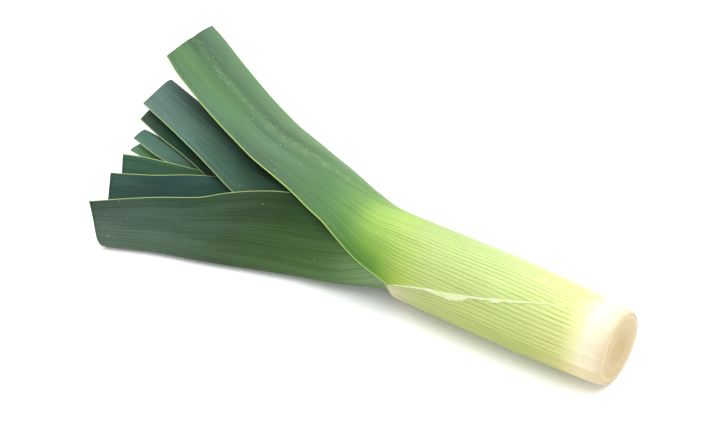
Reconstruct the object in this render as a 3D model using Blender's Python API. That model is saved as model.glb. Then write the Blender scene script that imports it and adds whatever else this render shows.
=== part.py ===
"""A trimmed leek lying on its side: a basal plate and eight nested leaves.

Every leaf is one closed piece. Its lower part is a tube (the sheath) that fits inside the
leaf before it; past the mouth the tube is open along one side and becomes a folded blade.
The root end points along +X, the blades along -X, +Z is up and the leek rests on z = 0.
Stations are distances from the cut root end, in millimetres; so is every other length.
"""
import math

import bmesh
import bpy
import numpy as np

MM = 0.001                    # millimetres to metres

# Driving dimensions.
LEAF_PITCH = 2.1              # radial step from one sheath to the next
SHEATH_WALL = 1.6             # thickness of a sheath in the shank
BLADE_WALL = 0.8              # thickness of a blade, and of the sheath at its mouth
THINNING_LENGTH = 60.0        # the sheath thins over this length before the mouth
PLATE_RADIUS = 16.1
PLATE_THICKNESS = 7.0
PLATE_CHAMFER = 0.8
FIT_GAP = 0.35                # clearance between neighbouring pieces
MOUTH_SLIT = 0.05             # least part of the girth left open past a mouth
PLATE_SIDES = 32

# Outside radius of the shank and height of its axis along the stations.
SHANK_RADIUS = [(0, 16.9), (1, 17.6), (3, 18.1), (6, 18.4), (20, 19.0), (60, 20.0), (100, 19.8), (120, 19.6)]
AXIS_HEIGHT = [(0, 19.2), (20, 19.2), (60, 20.0)]

# Middle and lowest point of the whole leek in leek coordinates; they become the origin.
MIDDLE_STATION = 151.0
MIDDLE_Y = 14.568
LOWEST_Z = -0.059

# The leaves from the outside in. Far leaves fold to +Y, near ones to -Y.
#   mouth     station where the tube ends          opens     station where it leaves the nest
#   cut       stations of the cut tip at the low edge, the keel and the top edge
#   keel      (station, y, z) path of the keel     back      direction of the keel's back, degrees
#   width     keel to top edge along the blade     lowShare  keel to low edge as a share of it
#   foldTop, foldLow    sharp fold beside the keel, degrees; crease is how wide that fold is
#   curlTop, curlLow    bend of each half, 1 = still as round as the sheath
#   rows      stations of the mesh rows            steps     mesh columns on each half
LEAVES = [
    dict(
        name="leaf_1", far=True, mouth=110, opens=112, cut=(300, 297, 302), crease=6.0, steps=12,
        keel=[(127, 16.6, 33.3), (141, 16.4, 38.9), (150, 15.8, 40.2), (160, 17.3, 41), (178, 20, 42),
              (203, 24, 43), (222, 31, 43.5), (256, 47, 44), (297, 69.7, 43)],
        back=[(110, 9), (127, 38), (141, 55), (150, 65), (178, 78), (203, 84), (256, 90), (300, 92)],
        width=[(110, 61.6), (120, 51.8), (130, 43.8), (141, 38), (150, 33.5), (160, 31), (178, 26.7),
               (203, 23), (230, 22), (285, 22.3), (300, 21)],
        lowShare=[(110, 1), (114, 0.9), (120, 0.79), (130, 0.72), (180, 0.8), (300, 0.85)],
        foldTop=[(110, 0), (150, 10), (203, 15), (300, 13)],
        foldLow=[(110, 0), (150, 10), (203, 15), (300, 13)],
        curlTop=[(110, 1), (130, 0.85), (141, 0.65), (150, 0.5), (178, 0.38), (203, 0.24), (256, 0.14), (300, 0.07)],
        curlLow=[(110, 1), (130, 0.89), (141, 0.65), (150, 0.55), (178, 0.44), (203, 0.24), (256, 0.14), (300, 0.07)],
        rows=[0, 1, 3, 6.9, 8, 20, 40, 60, 85, 100, 110,
              111, 112.5, 115, 118, 122, 127, 132, 137, 142, 148, 154, 161, 170, 180, 192, 206, 222, 240, 262, 280, 297],
    ),
    dict(
        name="leaf_2", far=False, mouth=120, opens=116, cut=(252, 252, 265), crease=4.0, steps=12,
        keel=[(133, -18, 6.5), (142, -20, 4.5), (159, -24, 3.1), (182, -32, 2.6), (206, -41, 2.6),
              (226, -47.5, 2.5), (252, -59, 2.4)],
        back=[(110, 189), (133, 218), (142, 221), (159, 219), (182, 214), (206, 209), (252, 205)],
        width=[(120, 55.6), (142, 46.9), (159, 43.7), (182, 42), (194, 39.4), (206, 35.5), (217, 30.5),
               (241, 25.2), (265, 21.7)],
        lowShare=[(120, 1), (133, 0.7), (265, 0.8)],
        foldTop=[(120, 0), (133, 12.7), (142, 25.4), (159, 40), (182, 58), (206, 66), (265, 69)],
        foldLow=[(120, 0), (133, 15.4), (142, 29.9), (159, 47), (182, 58), (206, 65), (265, 72)],
        curlTop=[(116, 1), (120, 0.96), (124, 0.92), (133, 0.8), (142, 0.66), (159, 0.46), (182, 0.28),
                 (206, 0.14), (265, 0.03)],
        curlLow=[(116, 1), (120, 0.97), (124, 0.91), (133, 0.68), (142, 0.39), (159, 0.18), (182, 0.06),
                 (206, 0)],
        rows=[7.35, 20, 60, 100, 112, 120,
              124, 128, 133, 138, 143, 149, 156, 164, 173, 184, 196, 208, 222, 236, 252],
    ),
    dict(
        name="leaf_3", far=True, mouth=136, opens=145, cut=(297, 297, 294), crease=4.0, steps=11,
        keel=[(160, 11.8, 28), (185, 14.5, 31), (208, 20, 30), (250, 33, 28), (297, 50, 26)],
        back=[(136, 20), (160, 38), (185, 48), (208, 50), (297, 52)],
        width=[(136, 47.6), (160, 40), (185, 34), (208, 33), (227, 30.5), (247, 28), (271, 26.5), (297, 26)],
        lowShare=[(136, 1), (160, 0.9), (185, 0.87), (208, 0.88), (250, 1.03), (297, 1.052)],
        foldTop=[(145, 0), (160, 3.6), (172, 12.1), (185, 25.4), (208, 38), (250, 40), (297, 41)],
        foldLow=[(150, 0), (165, 5.8), (185, 20), (208, 38)],
        curlTop=[(136, 1), (145, 1), (160, 0.92), (172, 0.75), (185, 0.51), (208, 0.15), (250, 0.07), (297, 0.02)],
        curlLow=[(136, 1), (145, 1), (160, 0.92), (170, 0.85), (185, 0.54), (208, 0.12), (297, 0)],
        rows=[7.35, 20, 60, 100, 120, 136,
              142, 148, 154, 160, 167, 174, 181, 188, 195, 203, 212, 225, 242, 260, 280, 297],
    ),
    dict(
        name="leaf_4", far=False, mouth=148, opens=188, cut=(259, 262, 270.5), crease=3.5, steps=10,
        keel=[(205, -11.8, 10.7), (229, -23.5, 6.5), (250, -35, 5), (265, -41, 5)],
        back=[(148, 195), (200, 204), (265, 205)],
        width=[(148, 41.5), (180, 30), (190, 24.5), (200, 21.3), (215, 24.1), (229, 27.8), (250, 26.5),
               (273, 22.5)],
        lowShare=[(148, 1), (200, 0.6), (273, 0.85)],
        foldTop=[(190, 0), (205, 10.7), (229, 51.1), (265, 74)],
        foldLow=[(190, 0), (205, 16.3), (229, 53.9), (265, 68)],
        curlTop=[(188, 1), (205, 0.73), (229, 0.31), (250, 0.08), (265, 0.05)],
        curlLow=[(188, 1), (205, 0.7), (229, 0.05), (265, 0)],
        rows=[7.35, 20, 60, 100, 125, 148,
              160, 172, 182, 190, 197, 204, 211, 218, 225, 233, 242, 252, 262],
    ),
    dict(
        name="leaf_5", far=True, mouth=158, opens=198, cut=(292, 294, 292), crease=3.5, steps=9,
        keel=[(218, 9.8, 21.2), (234, 18.3, 23.8), (294, 37, 20)],
        back=[(158, 25), (185, 40), (200, 45), (294, 48)],
        width=[(158, 35), (185, 25), (200, 20.5), (218, 19.1), (234, 17.5), (294, 18.3)],
        lowShare=[(158, 1)],
        foldTop=[(198, 0), (218, 23.5), (234, 54.6), (294, 44)],
        foldLow=[(198, 0), (218, 17.4), (234, 42.4), (294, 40)],
        curlTop=[(198, 0.98), (218, 0.45), (234, 0.16), (294, 0.06)],
        curlLow=[(198, 0.99), (205, 0.85), (218, 0.2), (234, 0.06), (294, 0)],
        rows=[7.35, 20, 60, 100, 125, 158,
              170, 182, 192, 200, 206, 212, 218, 224, 230, 237, 246, 262, 280, 294],
    ),
    dict(
        name="leaf_6", far=False, mouth=167, opens=200, cut=(271, 274, 278), crease=3.0, steps=8,
        keel=[(225, -8.6, 9.3), (246, -15, 7), (275, -22, 6.5)],
        back=[(167, 200), (220, 203)],
        width=[(167, 28), (190, 20.1), (200, 15.5), (210, 15.5), (225, 13.2), (246, 21.1), (280, 17)],
        lowShare=[(167, 1), (280, 0.9)],
        foldTop=[(202, 0), (225, 48.1), (246, 70), (275, 74)],
        foldLow=[(202, 0), (225, 23.4), (246, 68), (275, 69)],
        curlTop=[(200, 1), (225, 0.35), (246, 0.12), (275, 0.04)],
        curlLow=[(200, 0.99), (225, 0.43), (246, 0.03), (275, 0)],
        rows=[7.35, 20, 60, 100, 125, 167,
              180, 192, 200, 207, 214, 220, 226, 232, 239, 248, 260, 274],
    ),
    dict(
        name="leaf_7", far=True, mouth=175, opens=205, cut=(285, 288, 290), crease=2.5, steps=7,
        keel=[(230, 6.8, 16), (245, 10.8, 17.4), (260, 11.5, 18), (288, 16, 16.5)],
        back=[(175, 20), (220, 30)],
        width=[(175, 20.4), (200, 13.7), (225, 11.1), (260, 10), (288, 7)],
        lowShare=[(175, 1)],
        foldTop=[(205, 0), (230, 47.1), (250, 58.6), (288, 65)],
        foldLow=[(205, 0), (230, 20.1), (260, 50)],
        curlTop=[(205, 1), (230, 0.4), (260, 0.2), (288, 0.08)],
        curlLow=[(205, 1), (230, 0.61), (260, 0.1), (288, 0.08)],
        rows=[7.35, 20, 60, 100, 125, 175,
              190, 200, 208, 216, 223, 230, 238, 246, 258, 272, 288],
    ),
    dict(
        name="leaf_8", far=False, mouth=183, opens=205, cut=(283, 285, 285), crease=2.0, steps=6,
        keel=[(235, -1.6, 11.7), (270, 2, 11), (285, 3.5, 10.5)],
        back=[(183, 200), (220, 190), (290, 185)],
        width=[(183, 13), (205, 7.4), (235, 6.2), (285, 6)],
        lowShare=[(183, 1)],
        foldTop=[(192, 0), (210, 26), (235, 48.2), (270, 70), (285, 72)],
        foldLow=[(205, 0), (235, 36.2), (270, 70), (285, 72)],
        curlTop=[(192, 1), (210, 0.85), (235, 0.49), (270, 0.1), (285, 0.06)],
        curlLow=[(205, 1), (235, 0.53), (270, 0.1), (285, 0.06)],
        rows=[7.35, 20, 60, 100, 125, 183,
              195, 205, 213, 221, 229, 237, 248, 260, 272, 285],
    ),
]

COLOURS = {
    "root_plate": (0.72, 0.60, 0.36, 1.0),
    "leaf_1": (0.42, 0.58, 0.20, 1.0),
    "leaf_2": (0.06, 0.14, 0.04, 1.0),
    "leaf_3": (0.12, 0.25, 0.18, 1.0),
    "leaf_4": (0.03, 0.08, 0.05, 1.0),
    "leaf_5": (0.03, 0.08, 0.04, 1.0),
    "leaf_6": (0.05, 0.13, 0.07, 1.0),
    "leaf_7": (0.07, 0.15, 0.10, 1.0),
    "leaf_8": (0.12, 0.26, 0.14, 1.0),
}


def ease(x):
    x = min(1.0, max(0.0, x))
    return x * x * (3.0 - 2.0 * x)


def slopes(xs, ys):
    """Slopes at the stations of a curve that never overshoots its own points."""
    steps = np.diff(xs)
    rises = np.diff(ys) / steps
    out = np.zeros(len(xs))
    out[0] = rises[0]
    out[-1] = rises[-1]
    for i in range(1, len(xs) - 1):
        if rises[i - 1] * rises[i] > 0:
            before = 2 * steps[i] + steps[i - 1]
            after = steps[i] + 2 * steps[i - 1]
            out[i] = (before + after) / (before / rises[i - 1] + after / rises[i])
    return out


def along(points, station, carry_on=False):
    """Value of a smooth curve through (station, value) points; ends stay level or carry on straight."""
    xs = np.array([p[0] for p in points], float)
    ys = np.array([p[1] for p in points], float)
    if station <= xs[0] or len(xs) == 1:
        return ys[0]
    if station >= xs[-1]:
        end_slope = (ys[-1] - ys[-2]) / (xs[-1] - xs[-2])
        return ys[-1] + (end_slope * (station - xs[-1]) if carry_on else 0.0)
    slope = slopes(xs, ys)
    i = int(np.searchsorted(xs, station) - 1)
    step = xs[i + 1] - xs[i]
    t = (station - xs[i]) / step
    start = (1 + 2 * t) * (1 - t) ** 2 * ys[i] + t * (1 - t) ** 2 * step * slope[i]
    end = t * t * (3 - 2 * t) * ys[i + 1] + t * t * (t - 1) * step * slope[i + 1]
    return start + end


def sheath_circle(order, station):
    """Centre height and radius of a sheath; the inner ones draw together past the outer mouths."""
    height = along(AXIS_HEIGHT, station)
    radius = along(SHANK_RADIUS, station) - LEAF_PITCH * order
    shrink = 0.0
    if order >= 2:
        height -= 2.0 * ease((station - 120) / 60)
        shrink = 0.12 * ease((station - 120) / 60)
    if order == 2:
        shrink += 0.08 * ease((station - 180) / 25)
    if order >= 3:
        height -= 2.6 * ease((station - 165) / 38)
        shrink += 0.2 * ease((station - 165) / 35)
    if order >= 5:
        height -= 1.5 * ease((station - 193) / 22)
        shrink += 0.05 * ease((station - 193) / 20)
    return height, radius * (1.0 - shrink)


def circle_keel(leaf, order, station):
    """Keel point the leaf would have if it were still a round sheath."""
    height, radius = sheath_circle(order, station)
    angle = math.radians(along(leaf["back"], station))
    back = np.array([math.cos(angle), math.sin(angle)])
    return np.array([0.0, height]) + radius * back, back, radius


def keel_offsets(leaf, order):
    """How far the keel has moved away from its round sheath, as two curves."""
    offsets = [(leaf["opens"], 0.0, 0.0)]
    for station, y, z in leaf["keel"]:
        point = circle_keel(leaf, order, station)[0]
        offsets.append((station, y - point[0], z - point[1]))
    return [(s, dy) for s, dy, _ in offsets], [(s, dz) for s, _, dz in offsets]


def half_section(leaf, station, back, radius, side):
    """Points and outward directions from the keel to one edge, the keel at the origin."""
    top = (side > 0) == leaf["far"]
    if station <= leaf["mouth"]:
        width, fold, curl = math.pi * radius, 0.0, 1.0 / radius
    else:
        slit = MOUTH_SLIT * ease((station - leaf["mouth"]) / 8)
        width = min(math.pi * radius * (1 - slit), along(leaf["width"], station, True))
        width *= 1.0 if top else along(leaf["lowShare"], station)
        fold = math.radians(along(leaf["foldTop" if top else "foldLow"], station))
        curl = along(leaf["curlTop" if top else "curlLow"], station) / radius
    fine = leaf["steps"] * 6
    lengths = np.linspace(0.0, width, fine + 1)
    middles = (lengths[1:] + lengths[:-1]) / 2
    sideways = side * np.array([-back[1], back[0]])

    def turned(at):
        return fold * np.tanh(at / leaf["crease"]) + curl * at

    walk = np.outer(np.cos(turned(middles)), sideways) - np.outer(np.sin(turned(middles)), back)
    points = np.vstack([[0.0, 0.0], np.cumsum(walk * (width / fine), axis=0)])
    outward = np.outer(np.cos(turned(lengths)), back) + np.outer(np.sin(turned(lengths)), sideways)
    return points[::6], outward[::6]


def section(leaf, order, offsets, station):
    """Whole section, low edge to keel to top edge: outside points and outward directions."""
    keel, back, radius = circle_keel(leaf, order, station)
    keel = keel + np.array([along(offsets[0], station, True), along(offsets[1], station, True)])
    left, left_out = half_section(leaf, station, back, radius, 1)
    right, right_out = half_section(leaf, station, back, radius, -1)
    if leaf["far"]:
        low, low_out, top, top_out = right, right_out, left, left_out
    else:
        low, low_out, top, top_out = left, left_out, right, right_out
    points = np.vstack([low[::-1], top[1:]]) + keel
    return points, np.vstack([low_out[::-1], top_out[1:]])


def wall(leaf, order, station):
    """Thickness of the leaf: thin round the basal plate, full in the shank, thin in the blade."""
    if order == 0 and station < PLATE_THICKNESS:
        return along(SHANK_RADIUS, station) - PLATE_RADIUS - FIT_GAP
    share = ease((station - leaf["mouth"] + THINNING_LENGTH) / THINNING_LENGTH)
    return SHEATH_WALL + (BLADE_WALL - SHEATH_WALL) * share


def leaf_rows(leaf, order):
    """Outside and inside points (station, y, z) of every mesh row; the blade rows follow the cut tip."""
    offsets = keel_offsets(leaf, order)
    mouth = leaf["mouth"]
    steps = leaf["steps"]
    low_cut, keel_cut, top_cut = leaf["cut"]
    table_stations = np.append(np.arange(mouth, max(leaf["cut"]), 1.5), max(leaf["cut"]))
    table = [section(leaf, order, offsets, s + 1e-6) for s in table_stations]
    share = np.abs(np.linspace(-1, 1, 2 * steps + 1))
    cuts = keel_cut + share * np.where(np.arange(2 * steps + 1) < steps, low_cut - keel_cut, top_cut - keel_cut)
    outer = []
    inner = []
    for row in leaf["rows"]:
        if row <= mouth:
            points, outward = section(leaf, order, offsets, row)
            stations = np.full(2 * steps + 1, float(row))
        else:
            stations = mouth + (cuts - mouth) * (row - mouth) / (keel_cut - mouth)
            points = np.empty((2 * steps + 1, 2))
            outward = np.empty((2 * steps + 1, 2))
            for j in range(2 * steps + 1):
                for axis in (0, 1):
                    points[j, axis] = np.interp(stations[j], table_stations, [t[0][j, axis] for t in table])
                    outward[j, axis] = np.interp(stations[j], table_stations, [t[1][j, axis] for t in table])
        inside = points - outward * wall(leaf, order, row)
        outer.append(np.column_stack([stations, points]))
        inner.append(np.column_stack([stations, inside]))
    return outer, inner


def leaf_faces(leaf):
    """Quads of a leaf: closed tube up to the mouth, open blade with two edges past it."""
    last_column = 2 * leaf["steps"]
    row_count = len(leaf["rows"])
    mouth_row = leaf["rows"].index(leaf["mouth"])
    index = {}
    for layer in (0, 1):
        for row in range(row_count):
            for column in range(last_column + 1):
                closed = row <= mouth_row and column == last_column
                index[layer, row, column] = index[layer, row, 0] if closed else len(set(index.values()))
    faces = []
    for row in range(row_count - 1):
        for column in range(last_column):
            for layer in (0, 1):
                corners = [(row, column), (row + 1, column), (row + 1, column + 1), (row, column + 1)]
                faces.append([index[layer, r, c] for r, c in corners])
        if row >= mouth_row:
            for column in (0, last_column):
                corners = [(0, row), (0, row + 1), (1, row + 1), (1, row)]
                faces.append([index[layer, r, column] for layer, r in corners])
    for row in (0, row_count - 1):
        for column in range(last_column):
            corners = [(0, column), (0, column + 1), (1, column + 1), (1, column)]
            faces.append([index[layer, row, c] for layer, c in corners])
    return index, faces


def to_frame(station, y, z):
    return ((MIDDLE_STATION - station) * MM, (y - MIDDLE_Y) * MM, (z - LOWEST_Z) * MM)


def add_piece(name, vertices, faces):
    mesh = bpy.data.meshes.new(name)
    mesh.from_pydata(vertices, [], faces)
    shape = bmesh.new()
    shape.from_mesh(mesh)
    bmesh.ops.recalc_face_normals(shape, faces=shape.faces)
    bmesh.ops.triangulate(shape, faces=shape.faces)
    shape.to_mesh(mesh)
    shape.free()
    for polygon in mesh.polygons:
        polygon.use_smooth = True
    piece = bpy.data.objects.new(name, mesh)
    bpy.context.scene.collection.objects.link(piece)
    mesh.materials.append(plant_material(name))
    return piece


def plant_material(name):
    material = bpy.data.materials.new(name + "_skin")
    material.use_nodes = True
    shader = material.node_tree.nodes["Principled BSDF"]
    shader.inputs["Base Color"].default_value = COLOURS[name]
    shader.inputs["Roughness"].default_value = 0.5
    return material


def make_leaf(leaf, order):
    outer, inner = leaf_rows(leaf, order)
    index, faces = leaf_faces(leaf)
    vertices = [None] * (max(index.values()) + 1)
    for (layer, row, column), number in index.items():
        if vertices[number] is None:
            vertices[number] = to_frame(*(outer, inner)[layer][row][column])
    return add_piece(leaf["name"], vertices, faces)


def make_root_plate():
    """Round plate the leaves grow from, flush with the cut root end."""
    rings = [
        (0.0, PLATE_RADIUS - PLATE_CHAMFER),
        (PLATE_CHAMFER, PLATE_RADIUS),
        (PLATE_THICKNESS - PLATE_CHAMFER, PLATE_RADIUS),
        (PLATE_THICKNESS, PLATE_RADIUS - PLATE_CHAMFER),
    ]
    height = along(AXIS_HEIGHT, 0.0)
    vertices = []
    for station, radius in rings:
        for side in range(PLATE_SIDES):
            angle = 2 * math.pi * side / PLATE_SIDES
            vertices.append(to_frame(station, radius * math.cos(angle), height + radius * math.sin(angle)))
    faces = []
    for ring in range(len(rings) - 1):
        for side in range(PLATE_SIDES):
            following = (side + 1) % PLATE_SIDES
            first = ring * PLATE_SIDES
            second = first + PLATE_SIDES
            faces.append([first + side, first + following, second + following, second + side])
    faces.append(list(range(PLATE_SIDES)))
    faces.append(list(range((len(rings) - 1) * PLATE_SIDES, len(rings) * PLATE_SIDES)))
    return add_piece("root_plate", vertices, faces)


for leftover in list(bpy.data.objects):
    bpy.data.objects.remove(leftover, do_unlink=True)

make_root_plate()
for leaf_order, leaf_shape in enumerate(LEAVES):
    make_leaf(leaf_shape, leaf_order)
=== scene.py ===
import math
import bpy
import numpy as np
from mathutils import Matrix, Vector


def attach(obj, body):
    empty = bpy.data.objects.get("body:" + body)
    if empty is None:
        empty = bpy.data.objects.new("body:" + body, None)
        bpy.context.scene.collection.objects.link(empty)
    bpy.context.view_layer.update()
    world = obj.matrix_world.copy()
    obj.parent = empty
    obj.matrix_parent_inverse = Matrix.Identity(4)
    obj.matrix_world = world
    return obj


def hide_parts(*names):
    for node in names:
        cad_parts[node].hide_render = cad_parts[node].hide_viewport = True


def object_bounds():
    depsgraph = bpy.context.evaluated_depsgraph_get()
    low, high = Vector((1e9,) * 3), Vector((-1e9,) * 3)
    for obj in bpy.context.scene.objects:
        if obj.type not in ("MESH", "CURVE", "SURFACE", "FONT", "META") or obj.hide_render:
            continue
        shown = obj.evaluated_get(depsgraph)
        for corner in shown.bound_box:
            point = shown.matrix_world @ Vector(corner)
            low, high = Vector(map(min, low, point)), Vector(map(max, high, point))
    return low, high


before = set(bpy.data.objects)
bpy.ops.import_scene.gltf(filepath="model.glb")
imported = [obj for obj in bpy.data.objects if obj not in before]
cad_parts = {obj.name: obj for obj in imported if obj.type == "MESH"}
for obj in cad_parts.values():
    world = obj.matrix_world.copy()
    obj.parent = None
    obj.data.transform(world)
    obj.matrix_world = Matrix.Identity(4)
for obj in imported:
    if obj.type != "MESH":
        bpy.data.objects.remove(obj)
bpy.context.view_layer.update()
mm = 0.001


def toLinear(hexCode):
    parts = [int(hexCode[i:i + 2], 16) / 255 for i in (1, 3, 5)]
    return [p / 12.92 if p <= 0.04045 else ((p + 0.055) / 1.055) ** 2.4 for p in parts]


def opaque(hexCode):
    return toLinear(hexCode) + [1.0]


def addNode(tree, kind, links=None, **settings):
    node = tree.nodes.new(kind)
    for key, value in settings.items():
        setattr(node, key, value)
    for socket, source in (links or {}).items():
        if isinstance(source, bpy.types.NodeSocket):
            tree.links.new(source, node.inputs[socket])
        else:
            node.inputs[socket].default_value = source
    return node


def newMaterial(name):
    material = bpy.data.materials.new(name)
    material.use_nodes = True
    material.node_tree.nodes.clear()
    return material, material.node_tree


def addField(mesh, name, values):  # one number at every vertex, for the nodes to read
    mesh.attributes.new(name, "FLOAT", "POINT").data.foreach_set("value", values)


def quads(a, b, c, d):
    return np.stack([a, b, c, d], axis=-1).reshape(-1, 4)


def shellFaces(outer, inner,
               openFrom):  # both sides of a thin sheet and its rims, the long ones from a row on
    first, after = slice(openFrom, -1), slice(openFrom + 1, None)
    return np.concatenate([
        quads(outer[:-1, :-1], outer[:-1, 1:], outer[1:, 1:], outer[1:, :-1]),
        quads(inner[:-1, :-1], inner[1:, :-1], inner[1:, 1:], inner[:-1, 1:]),
        quads(outer[0, 1:], outer[0, :-1], inner[0, :-1], inner[0, 1:]),
        quads(outer[-1, :-1], outer[-1, 1:], inner[-1, 1:], inner[-1, :-1]),
        quads(outer[first, 0], outer[after, 0], inner[after, 0], inner[first, 0]),
        quads(outer[after, -1], outer[first, -1], inner[first, -1], inner[after, -1])])


def smoothMesh(name, vertices, faces):  # smooth shaded, with its faces turned outwards
    mesh = bpy.data.meshes.new(name)
    mesh.from_pydata(vertices, [], faces)
    mesh.calc_loop_triangles()
    places = np.array(vertices)
    corners = np.zeros(3 * len(mesh.loop_triangles), dtype=int)
    mesh.loop_triangles.foreach_get("vertices", corners)
    a, b, c = (places[corners[k::3]] for k in range(3))
    if np.einsum("ij,ij->i", a, np.cross(b, c)).sum() < 0:
        mesh.flip_normals()
    mesh.polygons.foreach_set("use_smooth", [True] * len(mesh.polygons))
    return mesh


def ease(x):
    x = np.clip(x, 0.0, 1.0)
    return x * x * (3 - 2 * x)


def along(points, stations, carryOn=False):  # smooth curve through (station, value) points
    xs = np.array([p[0] for p in points], float)
    ys = np.array([p[1] for p in points], float)
    s = np.asarray(stations, float)
    if len(xs) == 1:
        return np.full(s.shape, ys[0])
    step = np.diff(xs)
    rise = np.diff(ys) / step
    slope = np.zeros(len(xs))
    slope[0], slope[-1] = rise[0], rise[-1]
    for i in range(1, len(xs) - 1):
        if rise[i - 1] * rise[i] > 0:
            before, after = 2 * step[i] + step[i - 1], step[i] + 2 * step[i - 1]
            slope[i] = (before + after) / (before / rise[i - 1] + after / rise[i])
    i = np.clip(np.searchsorted(xs, s) - 1, 0, len(step) - 1)
    t = np.clip((s - xs[i]) / step[i], 0, 1)
    value = ((1 + 2 * t) * (1 - t) ** 2 * ys[i] + t * (1 - t) ** 2 * step[i] * slope[i]
             + t * t * (3 - 2 * t) * ys[i + 1] + t * t * (t - 1) * step[i] * slope[i + 1])
    if carryOn:
        value = value + np.maximum(s - xs[-1], 0) * rise[-1]
    return value


def colourAlong(stops, stations):  # linear colour at each station, between hex stops
    xs = [s for s, _ in stops]
    colours = np.array([toLinear(c) for _, c in stops])
    return np.stack([np.interp(stations, xs, colours[:, k]) for k in range(3)], axis=-1)


# the leek's own measures, in millimetres from the cut root end

leek = {
    "leafPitch": 2.1,        # radial step from one sheath to the next
    "sheathWall": 1.6,
    "bladeWall": 0.8,
    "tableStep": 0.5,        # between the stations at which a section is worked out
    "thinningLength": 60.0,  # the sheath thins over this length before its mouth
    "mouthSlit": 0.05,       # share of the tube that gapes past the mouth
    "slitLength": 8.0,
    "spread": (10, 30, 0.5),  # past where a blade opens: from, over, share that it widens beyond its tube
    "edgeTaper": 0.55,       # how much thinner a leaf gets at its edge
    "taperReach": 1.5,       # about how far in from the edge that shows
    "plateRadius": 16.1,
    "plateThickness": 7.0,
    "plateGap": 0.35,        # between the root plate and the leaves round it
    "middleStation": 151.0,
    "middleY": 14.568,
    "lowestZ": -0.059,
    "shankRadius": [(0, 16.9), (1, 17.6), (3, 18.1), (6, 18.4), (20, 19.0), (60, 20.0), (100, 19.8),
                    (120, 19.6)],
    "axisHeight": [(0, 19.2), (20, 19.2), (60, 20.0)],
    # the inner sheaths sink and tighten: leaves, from, drop, over, share lost, over
    "sinking": [(range(2, 8), 120, 2.0, 60, 0.12, 60), (range(2, 3), 180, 0.0, 25, 0.08, 25),
                (range(3, 8), 165, 2.6, 38, 0.2, 35), (range(5, 8), 193, 1.5, 22, 0.05, 20)],
    "rowCrowding": 1.35,     # the rows of the outer leaf crowd towards the root end, above 1
    "bladeCrowding": 1.25,   # and every blade's towards its mouth
    "sheathVein": 2.0,       # vein spacing round the shank
    "veinBend": 22.0,        # length over which veins bend from the shank into the blade
    "veinGather": 0.14,      # the veins stand a little closer at the mouth
    "gatherAt": 0.65,        # share of the width, from the fold, that they draw towards
    "ridgeHeight": 0.09,
    "pigment": 0.79,         # share of light the leaf colours keep, less is deeper
}


def inFrame(station, y, z):
    return np.stack([(leek["middleStation"] - station) * mm,
                     (y - leek["middleY"]) * mm, (z - leek["lowestZ"]) * mm], axis=-1)


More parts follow.
